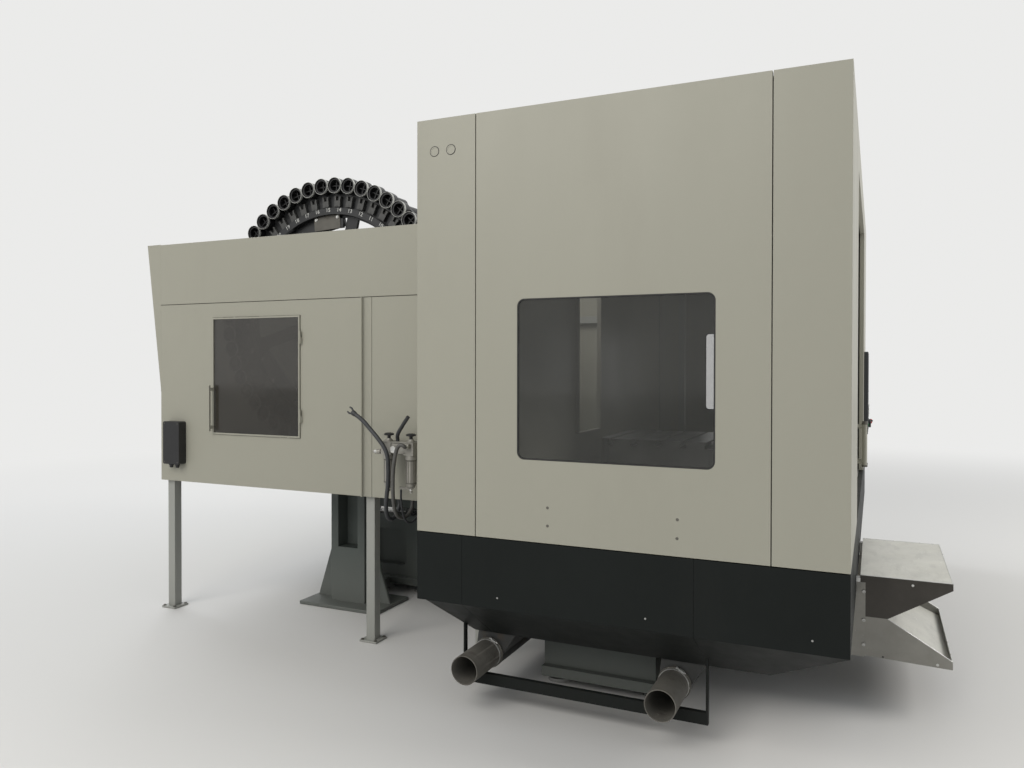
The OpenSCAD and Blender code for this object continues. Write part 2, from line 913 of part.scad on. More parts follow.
// Rail section drawn from its foot: waisted sides
module rail_2d(gap = 0) {
    w = rail_w / 2 + gap;
    neck = rail_w / 2 - 6 + gap;
    polygon([[-w, 0], [w, 0], [w, 12 + gap], [neck, 17], [neck, 22], [w, 27 - gap],
        [w, rail_h + gap], [-w, rail_h + gap], [-w, 27 - gap], [-neck, 22], [-neck, 17],
        [-w, 12 + gap]]);
}

table_rail_l = bed_l - 120;
column_rail_y = 1010;
column_rail_l = stem_end - 40 - column_rail_y;
module bed_rails() {
    color("#b4b6b5") {
        for (s = [-1, 1]) {
            translate([-table_rail_l / 2, table_y + s * table_rail_pitch / 2, bed_top])
                across(table_rail_l) rail_2d();
            translate([s * column_rail_pitch / 2, column_rail_y, bed_top])
                upright(column_rail_l) rail_2d();
        }
        for (x = [-bed_l / 2 + 60, bed_l / 2 - 120])
            translate([x, table_y, 0]) screw_bearing();
        for (y = [cross_back + 350, stem_end - 100])
            translate([0, y, 0]) rotate([0, 0, 90]) screw_bearing();
    }
}

// Bearing block of a ball screw, seated in its channel
module screw_bearing() {
    translate([0, -55, bed_top - channel_d]) difference() {
        cube([60, 110, screw_z + 45 - bed_top + channel_d]);
        translate([-1, 55, screw_z - bed_top + channel_d]) rod_x(screw_r + fit_gap, 62);
    }
}

module ball_screw(l) {
    rod_x(screw_r, l);
    for (x = [90, l - 120])
        translate([x, 0, 0]) rod_x(screw_r + 5, 12);
}

module x_screw() {
    color("#c2c4c4") translate([-bed_l / 2 + 55, table_y, screw_z]) ball_screw(bed_l - 110);
}

module z_screw() {
    y0 = cross_back + 355;
    color("#c2c4c4") translate([0, y0, screw_z]) rotate([0, 0, 90]) ball_screw(stem_end - 45 - y0);
}

// Saddle on the table rails, with the nut of its screw
saddle_l = 900;
saddle_d = 640;
carriage_l = 130;
nut_half = 45;
module rail_carriage(gap) {
    // drawn along X, over a rail whose foot is at Z = 0
    difference() {
        translate([0, -rail_w / 2 - 28, 16]) cube([carriage_l, rail_w + 56, rail_h + 14 - 16]);
        translate([-1, 0, 0]) across(carriage_l + 2) rail_2d(gap);
    }
}

module table_saddle() {
    seat = rail_h + 14 + bed_top;
    color("#6c7470") {
        difference() {
            union() {
                translate([-saddle_l / 2, table_y - saddle_d / 2, seat])
                    cube([saddle_l, saddle_d, saddle_top - seat]);
                translate([-60, table_y - nut_half, screw_z - nut_half])
                    cube([120, 2 * nut_half, seat - screw_z + nut_half + 1]);
            }
            translate([-61, table_y, screw_z]) rod_x(screw_r + fit_gap, 122);
            translate([0, table_y, saddle_top - 60]) cylinder(r = 120, h = 61);
            for (x = [-1, 1], y = [-1, 1])
                translate([x * 330, table_y + y * 210, saddle_top - 40]) cylinder(r = 40, h = 41);
        }
        for (s = [-1, 1], x = [-saddle_l / 2 + 20, saddle_l / 2 - 20 - carriage_l])
            translate([x, table_y + s * table_rail_pitch / 2, bed_top]) rail_carriage(run_gap);
    }
}

// Turning base and pallet with its slots
slot_w = 24;
slot_pitch = 160;
module t_slot_2d() {
    translate([-slot_w / 2, -40]) square([slot_w, 41]);
    translate([-slot_w, -40]) square([2 * slot_w, 18]);
}

module rotary_table() {
    base_z = saddle_top + run_gap;
    pallet_z = saddle_top + turn_base_h;
    color("#7f8683") translate([0, table_y, 0]) difference() {
        union() {
            translate([0, 0, base_z]) cylinder(r = turn_base_r, h = turn_base_h, $fn = 96);
            translate([0, 0, base_z]) cylinder(r = turn_base_r + 15, h = 40, $fn = 96);
            translate([0, 0, saddle_top - 50]) cylinder(r = 120 - run_gap, h = 60);
            translate([0, 0, pallet_z]) linear_extrude(pallet_top - pallet_z) difference() {
                square(pallet_w, center = true);
                for (a = [45:90:315])
                    rotate(a) translate([pallet_w * 0.64, -100]) square([100, 200]);
            }
        }
        for (k = [-2:2])
            translate([-pallet_w, k * slot_pitch, pallet_top]) across(2 * pallet_w) t_slot_2d();
        translate([0, 0, pallet_top - 60]) cylinder(r = 25, h = 61);
    }
}

// Travelling column with its rails, screw bearings and drive
column_half = column_w / 2;
column_seat = bed_top + rail_h + 14;
head_rail_z = 1080;
head_rail_h = column_top - 20 - head_rail_z;
well_w = 300;
module column() {
    color("#6c7470") {
        difference() {
            translate([0, column_front, 0]) upright(column_d) polygon([[-stem_half, column_seat],
                [stem_half, column_seat], [stem_half, 980], [column_half, 1180],
                [column_half, column_top], [-column_half, column_top], [-column_half, 1180],
                [-stem_half, 980]]);
            translate([-well_w / 2, column_front - 1, head_rail_z - 40])
                cube([well_w, 260, head_rail_h + 40]);
            for (z = [1460, 1960])
                translate([-stem_half, column_front + 490, z]) rotate([0, 0, -90])
                    core_window(300, 340, stem_w);
            translate([0, column_front + column_d - 80, 1500]) core_window(380, 900, 90);
            translate([0, column_front + column_d - 80, 820]) core_window(600, 200, 90);
        }
        for (s = [-1, 1])
            translate([s * head_rail_pitch / 2, column_front, head_rail_z])
                linear_extrude(head_rail_h) rotate(180) rail_2d();
        for (z = [head_rail_z - 20, head_rail_z + head_rail_h - 40]) {
            translate([-60, column_front - 45, z]) difference() {
                cube([120, 306, 60]);
                translate([60, 50, -1]) cylinder(r = screw_r + fit_gap, h = 62);
            }
            translate([-well_w / 2, column_front + 60, z]) cube([well_w, 60, 60]);
        }
        translate([0, column_front + 5, column_top]) {
            translate([-70, -70, -20]) cube([140, 140, 60]);
            cylinder(r = 58, h = 138);
        }
        translate([-nut_half, column_front + 340, screw_z - nut_half]) difference() {
            cube([2 * nut_half, 130, column_seat - screw_z + nut_half + 1]);
            translate([nut_half, -1, nut_half]) rod_y(screw_r + fit_gap, 132);
        }
        for (s = [-1, 1], y = [column_front + 20, column_front + column_d - 20 - carriage_l])
            translate([s * column_rail_pitch / 2, y + carriage_l, bed_top])
                rotate([0, 0, -90]) rail_carriage(run_gap);
    }
}

head_screw_y = column_front + 5;
module y_screw() {
    color("#c2c4c4") translate([0, head_screw_y, head_rail_z - 15])
        cylinder(r = screw_r, h = head_rail_h - 5);
}

// Spindle head: back plate with carriages, ram and nose
ram_low = 170;
ram_high = 200;
ram_front = nose_y + 130;
plate_back = column_front - rail_h - 14;
plate_t = 65;
module spindle_head() {
    color("#6c7470") difference() {
        union() {
            translate([-320, plate_back - plate_t, spindle_z - 260]) cube([640, plate_t, 520]);
            translate([-ram_w / 2, ram_front, spindle_z - ram_low])
                cube([ram_w, plate_back - plate_t - ram_front, ram_low + ram_high]);
            translate([0, nose_y + 20, spindle_z]) rotate([-90, 0, 0]) rotate_extrude($fn = 96)
                polygon([[0, 0], [nose_r - 35, 0], [nose_r - 25, 10], [nose_r, 70],
                    [nose_r, 111], [0, 111]]);
            for (s = [-1, 1], z = [-240, 110])
                translate([s * head_rail_pitch / 2 - rail_w / 2 - 28, plate_back - 1, spindle_z + z])
                    cube([rail_w + 56, rail_h + 14 - 16 + 1, carriage_l]);
            translate([-nut_half, plate_back - 1, spindle_z - 60])
                cube([2 * nut_half, head_screw_y + nut_half - plate_back + 1, 120]);
        }
        for (s = [-1, 1])
            translate([s * head_rail_pitch / 2, column_front, 0]) linear_extrude(big)
                rotate(180) rail_2d(run_gap);
        translate([0, head_screw_y, 0]) cylinder(r = screw_r + fit_gap, h = big);
        translate([0, nose_y, spindle_z]) rod_y(spindle_r + fit_gap, 300);
    }
}

module spindle() {
    color("#aeb0af") translate([0, nose_y, spindle_z]) rotate([-90, 0, 0]) rotate_extrude($fn = 96)
        polygon([[taper_r, 0], [spindle_r - 3, 0], [spindle_r, 3], [spindle_r, 295], [12, 295],
            [12, 120], [20, 101.75]]);
}

// Tool magazine: carrier disc, pots and collars round its axle
carrier_x = pot_face_x + 69;
carrier_t = 24;
disc_x = carrier_x + carrier_t;
axle_r = 50;
stand_x0 = -905;
stand_x1 = -745;
module magazine_place() {
    translate([0, magazine_y, magazine_z]) children();
}

module ring_x(r1, r0, l) {
    difference() {
        rod_x(r1, l, $fn = 180);
        translate([-1, 0, 0]) rod_x(r0, l + 2, $fn = 180);
    }
}

module magazine_disc() {
    color("#26282a") magazine_place() {
        difference() {
            union() {
                translate([carrier_x, 0, 0]) ring_x(pot_circle_r + 36, ring_r - ring_w - 14, carrier_t);
                translate([carrier_x - 44, 0, 0]) ring_x(ring_r, ring_r - ring_w, 8);
                translate([carrier_x - 44, 0, 0]) ring_x(ring_r - ring_w + 10, ring_r - ring_w, 44);
                for (a = [13.5:60:313.5])
                    rotate([a, 0, 0]) translate([carrier_x + 1, -45, 100])
                        cube([carrier_t - 2, 90, ring_r - ring_w - 90]);
                translate([carrier_x - 2, 0, 0]) rod_x(150, carrier_t + 4);
                translate([carrier_x - 30, 0, 0]) rod_x(90, 60);
                translate([carrier_x, 0, 0]) rod_x(axle_r, stand_x1 - carrier_x - 20);
            }
            for (i = [0:pot_count - 1])
                rotate([(i + 0.5) * 360 / pot_count, 0, 0]) translate([carrier_x - 1, 0, pot_circle_r])
                    rod_x(40 + fit_gap, carrier_t + 2, $fn = 32);
        }
        for (a = [-1:120:239])
            rotate([a, 0, 0]) translate([carrier_x - 16, -100, 588]) cube([20, 200, 62]);
        for (a = [-11:120:229])
            rotate([a, 0, 0]) translate([carrier_x + 2, -208, 575]) cube([carrier_t - 4, 417, 105]);
    }
}

module pot() {
    head_l = carrier_x - pot_face_x;
    rotate([0, 90, 0]) rotate_extrude($fn = 32)
        polygon([[12, 55], [38, 55], [38, 8], [collar_r - 4.6, 8], [collar_r - 4.6, head_l],
            [40, head_l], [40, pot_l], [35, pot_l], [20, pot_l - 100], [12, pot_l - 100]]);
    for (a = [0, 90])
        rotate([a, 0, 0]) translate([30, -37.5, -3]) cube([26, 75, 6]);
}

// The pot that faces the transfer arm is a solid of its own
waiting_spot = floor(pot_count / 4);
other_spots = [for (i = [0:pot_count - 1]) if (i != waiting_spot) i];
module around_magazine(spots) {
    magazine_place() for (i = spots)
        rotate([(i + 0.5) * 360 / pot_count, 0, 0]) translate([pot_face_x, 0, pot_circle_r]) children();
}

module tool_pots() {
    color("#18191b") around_magazine(other_spots) pot();
}

module pot_collar() {
    head_l = carrier_x - pot_face_x;
    difference() {
        rod_x(collar_r, head_l, $fn = 32);
        translate([-1, 0, 0]) rod_x(collar_r - 4.5, head_l + 2, $fn = 32);
    }
    translate([head_l - 26, -23, ring_r + 6 - pot_circle_r]) difference() {
        cube([26, 46, 58]);
        translate([-1, 14, 14]) cube([20, 18, 50]);
    }
}

module pot_collars() {
    color("#c7c8c4") around_magazine(other_spots) pot_collar();
}

module waiting_tool_pot() {
    around_magazine([waiting_spot]) {
        color("#18191b") pot();
        color("#c7c8c4") pot_collar();
    }
}

module magazine_stand() {
    color("#6c7470") difference() {
        union() {
            translate([stand_x0, magazine_y - 140, 24]) cube([stand_x1 - stand_x0, 280, magazine_z - 24]);
            magazine_place() translate([stand_x0, 0, 0]) rod_x(140, stand_x1 - stand_x0);
            translate([stand_x0 - 120, magazine_y - 320, 0]) cube([stand_x1 - stand_x0 + 240, 640, 24]);
            translate([stand_x1, magazine_y - 80, 24])
                cube([-stem_half - foot_w - stand_x1, 160, bed_bottom + 20]);
            for (s = [-1, 1])
                translate([(stand_x0 + stand_x1) / 2 - 12, magazine_y, 24]) across(24)
                    polygon([[s * 139, 0], [s * 300, 0], [s * 139, 500]]);
            magazine_place() translate([stand_x1 - 1, 0, 0]) rod_x(100, 60);
            magazine_place() translate([stand_x1 + 59, 0, 0]) rod_x(62, 110);
        }
        magazine_place() translate([stand_x0 - 1, 0, 0]) rod_x(axle_r + fit_gap, stand_x1 - stand_x0 - 8);
        translate([stand_x0 - 1, magazine_y - 80, 400]) cube([110, 160, 1100]);
    }
}

// Tool change drive: gearbox on its post, quill, double arm and transfer arm
module changer_gearbox() {
    color("#5f6a70") difference() {
        union() {
            translate([-700, gearbox_y, spindle_z - 130]) cube([308, gearbox_l, 260]);
            translate([-arm_r, gearbox_y - 20, spindle_z]) rod_y(68, 21);
            translate([-700, gearbox_y + 130, 24]) cube([140, 140, spindle_z - 153]);
            translate([-760, gearbox_y + 60, 0]) cube([260, 280, 24]);
            translate([-561, gearbox_y + 130, 24])
                cube([561 - stem_half - foot_w, 140, bed_bottom + 20]);
            translate([transfer_x - 50, transfer_y - 45, spindle_z - 140])
                cube([-transfer_x - 650, 90, 30]);
            translate([transfer_x, transfer_y, spindle_z - 141]) cylinder(r = 42, h = 120);
            translate([-640, gearbox_y + gearbox_l - 1, spindle_z]) rod_y(60, 120);
        }
        translate([-arm_r, gearbox_y - 21, spindle_z]) rod_y(quill_r + fit_gap, gearbox_l - 20);
        translate([transfer_x, transfer_y, spindle_z - 60]) cylinder(r = 18 + fit_gap, h = 60);
    }
}

module arm_shaft() {
    color("#b5b7b6") translate([-arm_r, arm_y + arm_t, spindle_z]) {
        translate([0, run_gap, 0]) rod_y(quill_r, 300);
        translate([0, -arm_t + 6, 0]) rod_y(24, arm_t);
    }
}

// A claw that holds a tool flange, open to +X, its axis along Z
module claw(t) {
    difference() {
        cylinder(r = claw_r, h = t);
        translate([0, 0, -1]) cylinder(r = flange_r, h = t + 2);
        translate([20, -claw_r - 1, -1]) cube([claw_r, 2 * claw_r + 2, t + 2]);
    }
}

module change_arm() {
    color("#9c9fa0") translate([-arm_r, arm_y, spindle_z]) rotate([-90, 0, 0]) difference() {
        union() {
            cylinder(r = 88, h = arm_t);
            for (s = [0, 180])
                rotate(s + 90) {
                    translate([0, -42, 0]) cube([arm_r - claw_r + 8, 84, arm_t]);
                    translate([arm_r, 0, 0]) rotate(90) claw(arm_t);
                }
        }
        translate([0, 0, 5]) cylinder(r = 24 + fit_gap, h = arm_t);
        translate([0, 0, -1]) cylinder(r = 14, h = 3);
    }
}

module transfer_arm() {
    z0 = spindle_z - 20;
    color("#9c9fa0") translate([transfer_x, transfer_y, 0]) {
        translate([0, 0, spindle_z - 59]) cylinder(r = 18, h = 60);
        translate([0, 0, z0]) cylinder(r = 38, h = 34);
        translate([0, -24, z0]) cube([pick_x - transfer_x + 11, 48, 34]);
        translate([pick_x - transfer_x, pick_y - transfer_y, spindle_z]) rotate([0, 90, 0])
            translate([0, 0, -11]) rotate(90) claw(22);
        translate([pick_x - transfer_x - 11, 0, z0]) cube([22, pick_y - transfer_y - 60, 34]);
    }
}

// Tool changer enclosure
module changer_post(x, y) {
    translate([x, y, 12]) cube([tube, tube, changer_ring_top - 12]);
    translate([x - 30, y - 30, 0]) cube([tube + 60, tube + 60, 12]);
}

module changer_frame() {
    color("#8f918a") {
        for (x = [-changer_frame_x, changer_frame_x - tube]) {
            for (y = [post_front, strip_y, post_back])
                changer_post(x, y);
            for (z = [skirt_top, changer_seam_z - tube / 2, changer_ring_top - tube])
                translate([x, back_y, z]) cube([tube, post_back + tube - back_y, tube]);
        }
        for (z = [skirt_top, changer_ring_top - tube])
            translate([-changer_frame_x, post_back, z]) cube([2 * changer_frame_x, tube, tube]);
    }
}

module access_cut() {
    translate([-changer_x - 1, access_y, access_z]) cube([fold + 2, access_w, access_h]);
}

hinge_x = -changer_x - proud - 6;
hinge_y = access_y - 4;
knuckle_l = 40;
knuckle_z = [access_z + 100, access_z + access_h - 180];
module changer_wall() {
    low = wall_bottom;
    color("#c9c8bd") {
        side_tray(-changer_x, back_y + seam, strip_y - 2, low, changer_seam_z - seam / 2);
        translate([-changer_x - 1, strip_y, low]) {
            cube([fold + 1, strip_w, changer_seam_z - seam / 2 - low]);
            translate([-21, strip_w - 8, 0]) cube([22, 8, changer_seam_z - seam / 2 - low]);
        }
        difference() {
            side_tray(-changer_x, strip_y + strip_w + 2, changer_back, low, changer_seam_z - seam / 2);
            access_cut();
        }
        side_tray(-changer_x, back_y + seam, changer_back, changer_seam_z + seam / 2, changer_top);
        for (z = knuckle_z) {
            translate([hinge_x, hinge_y, z]) cylinder(r = 6, h = knuckle_l);
            translate([hinge_x, hinge_y - 10, z]) cube([-changer_x - hinge_x, 8, knuckle_l]);
        }
    }
}

module access_door() {
    y0 = access_y + leaf_gap;
    z0 = access_z + leaf_gap;
    w = access_w - 2 * leaf_gap;
    h = access_h - 2 * leaf_gap;
    color("#d2d1c8") translate([-changer_x - proud, y0, z0]) {
        difference() {
            cube([access_t, w, h]);
            translate([-1, access_frame, access_frame])
                cube([access_t + 2, w - 2 * access_frame, h - 2 * access_frame]);
        }
        for (z = knuckle_z)
            translate([hinge_x + changer_x + proud, hinge_y - y0, z + knuckle_l + run_gap - z0]) {
                cylinder(r = 6, h = knuckle_l);
                cube([6, 12, knuckle_l]);
            }
        translate([-38, w - 10, 20]) cube([14, 16, 300]);
        for (z = [35, 285])
            translate([-38, w - 10, z]) cube([39, 10, 20]);
    }
}

module access_door_window() {
    w = access_w - 2 * leaf_gap - 2 * access_frame;
    h = access_h - 2 * leaf_gap - 2 * access_frame;
    color("#3a4144", 0.5) translate([-changer_x - proud + 5, access_y + leaf_gap + access_frame,
        access_z + leaf_gap + access_frame]) cube([glass_t, w, h]);
}

module right_changer_wall() {
    low = wall_bottom;
    color("#c9c8bd") mirror([1, 0, 0]) {
        side_tray(-changer_x, back_y + seam, magazine_y - 2, low, changer_seam_z - seam / 2);
        side_tray(-changer_x, magazine_y + 2, changer_back, low, changer_seam_z - seam / 2);
        side_tray(-changer_x, back_y + seam, changer_back, changer_seam_z + seam / 2, changer_top);
    }
}

module back_cover() {
    half = changer_x - fold;
    top = changer_top + 3;
    color("#c9c8bd") {
        translate([half, changer_back, wall_bottom]) rotate([0, 0, 180])
            tray(2 * half, flare_z - wall_bottom);
        for (x = [-changer_x, changer_x - sheet])
            translate([x, 0, 0]) across(sheet) polygon([[changer_back, flare_z],
                [changer_back + sheet, flare_z], [changer_back + flare, top],
                [changer_back, top]]);
        translate([-changer_x, 0, 0]) across(2 * changer_x) polygon([[changer_back, flare_z - 20],
            [changer_back + sheet, flare_z - 20], [changer_back + sheet, flare_z],
            [changer_back + flare, top], [changer_back + flare - sheet, top],
            [changer_back, flare_z]]);
        translate([-half, post_back + tube, top - sheet])
            cube([2 * half, flare + fold - 2, sheet]);
        translate([-half, post_back + tube, changer_ring_top - 30])
            cube([2 * half, sheet, top - changer_ring_top + 30]);
    }
}

module junction_box() {
    color("#232425") translate([-changer_x, 3262, 1140]) rotate([0, -90, 0]) rotate([0, 0, 90])
        linear_extrude(62) rounded_2d(145, 286, 14);
}

// Air service unit on the changer wall
air_y = 1432;
air_x = -1585;
air_z = 1225;
air_pitch = 147;
module air_cup(y) {
    translate([air_x, y, 0]) {
        translate([-34, -34, air_z - 70]) cube([68, 68, 70]);
        translate([0, 0, air_z]) cylinder(r = 22, h = 12);
        translate([0, 0, air_z + 12]) cylinder(r = 8, h = 8);
        translate([0, 0, air_z - 232]) cylinder(r = 28, h = 163);
        translate([0, 0, air_z - 236]) sphere(r = 27.5);
        translate([0, 0, air_z - 282]) cylinder(r = 9, h = 30);
        translate([0, 0, air_z - 96]) cylinder(r = 33, h = 26);
    }
}

module air_unit() {
    color("#a9aaa5") difference() {
        union() {
            air_cup(air_y - air_pitch / 2);
            air_cup(air_y + air_pitch / 2);
            translate([air_x - 22, air_y - air_pitch / 2, air_z - 58]) cube([44, air_pitch, 44]);
            translate([air_x, air_y - 100, air_z - 12]) cube([-changer_x - air_x, 200, 12]);
            translate([-changer_x - 6, air_y - 100, air_z - 80]) cube([6, 200, 80]);
            translate([air_x - 60, air_y - air_pitch / 2 - 19, air_z - 30]) cube([40, 26, 26]);
            translate([air_x - 8, air_y + air_pitch / 2 + 30, air_z - 58]) rod_y(8, 70);
            translate([air_x - 8, air_y + air_pitch / 2 + 50, air_z - 58]) rod_y(14, 24);
            translate([air_x - 8, air_y - air_pitch / 2, air_z - 268]) cube([16, 75, 14]);
        }
        for (s = [-1, 1])
            translate([air_x, air_y + s * air_pitch / 2, air_z + 4]) cylinder(r = 5 + fit_gap, h = 20);
    }
}

module air_knob(y) {
    color("#1a1b1c") translate([air_x, y, air_z + 20 + run_gap]) {
        translate([0, 0, -14]) cylinder(r = 5, h = 15);
        rotate_extrude() polygon([[0, 0], [10, 0], [10, 14], [27, 18], [27, 27], [20, 31], [0, 31]]);
    }
}

module front_air_knob() {
    air_knob(air_y - air_pitch / 2);
}

module rear_air_knob() {
    air_knob(air_y + air_pitch / 2);
}

// Hoses, swept along their own points
grey_route = [[-1645.2, 1352, 1207], [-1660, 1352, 1207], [-1668, 1360, 1216],
    [-1670, 1375, 1218], [-1670, 1392, 1206], [-1669, 1406, 1172], [-1668, 1418, 1120],
    [-1666, 1425, 1070], [-1662, 1430, 990], [-1656, 1432, 920], [-1640, 1434, 860],
    [-1610, 1437, 815], [-1565, 1440, 790], [-1510, 1443, 785], [-1460, 1446, 800],
    [-1428, 1449, 828], [-1419, 1450, 855], [-1419, 1450, 872.8]];
black_route = [[-1419, 1540, 872.8], [-1419, 1540, 855], [-1430, 1537, 822], [-1465, 1530, 790],
    [-1515, 1521, 772], [-1570, 1511, 778], [-1615, 1500, 812], [-1642, 1488, 865],
    [-1650, 1478, 930], [-1650, 1470, 1000], [-1650, 1469, 1080], [-1650, 1475, 1150],
    [-1650, 1496, 1198], [-1650, 1530, 1239], [-1650, 1590, 1299], [-1650, 1646, 1350],
    [-1650, 1714, 1393]];
stub_route = [[-1572, 1456, 1225.2], [-1572, 1456, 1240], [-1582, 1450, 1262],
    [-1600, 1410, 1314], [-1620, 1356, 1373]];
cable_route = [[-1585, 1425, 956.8], [-1585, 1425, 940], [-1586, 1424, 900],
    [-1587, 1418, 850], [-1580, 1412, 805], [-1555, 1408, 770], [-1520, 1405, 755],
    [-1475, 1402, 765], [-1436, 1400, 795], [-1419, 1400, 840], [-1419, 1400, 872.8]];
function unit(v) = v / norm(v);
function tangent(p, i) = unit(p[min(i + 1, len(p) - 1)] - p[max(i - 1, 0)]);
function side_of(t) = unit(cross(t, abs(t[2]) > 0.9 ? [1, 0, 0] : [0, 0, 1]));
// The section's first direction is carried from ring to ring so that the tube doesn't twist
function carried(p, i) = i == 0 ? side_of(tangent(p, 0)) :
    let (t = tangent(p, i), v = carried(p, i - 1)) unit(v - t * (v * t));
module hose(p, r) {
    n = 10;
    count = len(p);
    rings = [for (i = [0:count - 1])
        let (t = tangent(p, i), u = carried(p, i), v = cross(t, u))
        each [for (k = [0:n - 1]) p[i] + r * (cos(360 * k / n) * u + sin(360 * k / n) * v)]];
    walls = [for (i = [0:count - 2], k = [0:n - 1])
        let (a = i * n + k, b = i * n + (k + 1) % n)
        [a, b, b + n, a + n]];
    polyhedron(rings, concat([[for (k = [n - 1:-1:0]) k]], walls,
        [[for (k = [0:n - 1]) (count - 1) * n + k]]), convexity = 6);
}

module air_hoses() {
    color("#2a2c2e") {
        hose(grey_route, 11);
        hose(black_route, 12);
        hose(stub_route, 11);
        hose(cable_route, 6);
    }
}

// Electrical cabinet with its mounting plate, door and switch handle
cabinet_x1 = changer_x + cabinet_d;
module electrical_cabinet() {
    t = 4;
    color("#c2c1b7") translate([changer_x, cabinet_y, 0]) {
        translate([20, 20, 0]) cube([cabinet_d - 40, cabinet_w - 40, plinth_h]);
        translate([0, 0, plinth_h]) difference() {
            cube([cabinet_d, cabinet_w, cabinet_h]);
            translate([t, t, t]) cube([cabinet_d, cabinet_w - 2 * t, cabinet_h - 2 * t]);
        }
        translate([t, 60, plinth_h + 60]) cube([12, cabinet_w - 120, cabinet_h - 120]);
        for (z = [0, 1], k = [0:5])
            translate([t + 12, 120 + k * 165, plinth_h + 1100 - z * 620]) cube([150, 120, 360]);
        for (z = [0:2])
            translate([t + 12, 90, plinth_h + 320 + z * 620]) cube([50, cabinet_w - 180, 60]);
    }
}

door_hinge_x = cabinet_x1 + 12;
module cabinet_door() {
    t = 22;
    w = cabinet_w - 2;
    h = cabinet_h - 2;
    color("#c9c8bd") translate([cabinet_x1 + run_gap, cabinet_y + 1, plinth_h + 1]) {
        difference() {
            cube([t, w, h]);
            translate([-1, sheet, sheet]) cube([t - sheet + 1, w - 2 * sheet, h - 2 * sheet]);
            translate([-1, w - 110, h - 560]) cube([t + 2, 60, 60]);
        }
        translate([t - sheet - 3, w - 120, h - 570]) difference() {
            cube([sheet + 5, 80, 80]);
            translate([-1, 40, 40]) rod_x(9 + fit_gap, sheet + 7);
        }
        for (z = [-h / 2 + 150, 0, h / 2 - 190])
            translate([t / 2, -5, h / 2 + z]) cylinder(r = 6, h = 60);
        for (k = [0:9])
            translate([t - 1, 200, 150 + k * 22]) cube([3, 300, 8]);
    }
}

handle_y = cabinet_y + 1 + cabinet_w - 2 - 80;
handle_z = plinth_h + 1 + cabinet_h - 2 - 530;
module disconnect_handle() {
    x0 = cabinet_x1 + run_gap + 22 + 2;
    color("#9b1c1c") translate([x0 + run_gap, handle_y, handle_z]) {
        translate([-14, 0, 0]) rod_x(9, 20);
        rod_x(28, 12);
        translate([11, -10, -60]) cube([22, 20, 90]);
    }
}

// Operator panel, flush in the right front block
stop_x = panel_x + panel_w - 60;
stop_z = panel_z + 70;
start_x = panel_x + 70;
wheel_x = panel_x + 250;
module control_panel() {
    y0 = front_y - panel_proud;
    d = panel_proud + fold + 4;
    color("#2c2e31") translate([panel_x, y0, panel_z]) difference() {
        union() {
            cube([panel_w, panel_proud, panel_h]);
            translate([12, 0, 12]) cube([panel_w - 24, d, panel_h - 24]);
        }
        translate([60, -1, 240]) cube([panel_w - 120, 7, panel_h - 290]);
        translate([stop_x - panel_x, -1, stop_z - panel_z]) rod_y(10 + run_gap, 30);
        translate([start_x - panel_x, -1, stop_z - panel_z]) rod_y(11 + run_gap, 20);
        translate([wheel_x - panel_x, -1, stop_z - panel_z]) rod_y(8 + fit_gap, 22);
    }
    color("#14181b") translate([panel_x + 62, y0 + 1, panel_z + 242])
        cube([panel_w - 124, 5, panel_h - 294]);
    color("#3d4043") for (r = [0:2], k = [0:7])
        translate([panel_x + 70 + k * 54, y0 - 3, panel_z + 130 + r * 32]) cube([40, 3, 20]);
}

module emergency_stop() {
    color("#b01818") translate([stop_x, front_y - panel_proud, stop_z]) {
        translate([0, -12, 0]) rod_y(10, 30);
        translate([0, -28, 0]) rotate([-90, 0, 0]) rotate_extrude()
            polygon([[0, 0], [14, 0], [20, 6], [20, 14], [12, 20], [0, 20]]);
    }
}

module cycle_start() {
    color("#2f7d3a") translate([start_x, front_y - panel_proud, stop_z]) {
        translate([0, -6, 0]) rod_y(11, 18);
    }
}

module jog_wheel() {
    color("#1c1d1f") translate([wheel_x, front_y - panel_proud, stop_z]) {
        translate([0, -20, 0]) rod_y(8, 40);
        translate([0, -20 - run_gap, 0]) rotate([-90, 0, 0]) rotate_extrude()
            polygon([[0, 0], [30, 0], [33, 3], [33, 14], [28, 19], [0, 19]]);
        translate([0, -34, 20]) rod_y(6, 16);
    }
}

bed_casting();
levelling_feet();
bed_rails();
enclosure_frame();
left_wall_panels();
right_wall_panels();
side_windows();
window_seals();
front_panels();
door_tracks();
roof_panels();
back_wall();
side_skirts();
end_skirts();
pan_floor();
auger_troughs();
discharge_tubes();
auger_motors();
chip_chute();
changer_frame();
changer_wall();
right_changer_wall();
back_cover();
junction_box();
air_unit();
air_hoses();
magazine_stand();
changer_gearbox();
electrical_cabinet();
control_panel();
table_saddle();
rotary_table();
column();
spindle_head();
spindle();
magazine_disc();
tool_pots();
pot_collars();
waiting_tool_pot();
change_arm();
arm_shaft();
transfer_arm();
left_door();
right_door();
left_door_window();
right_door_window();
access_door();
access_door_window();
cabinet_door();
disconnect_handle();
front_auger();
rear_auger();
front_air_knob();
rear_air_knob();
emergency_stop();
cycle_start();
jog_wheel();
x_screw();
y_screw();
z_screw();
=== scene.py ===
import json
import math
import bmesh
import bpy
from mathutils import Matrix, Vector


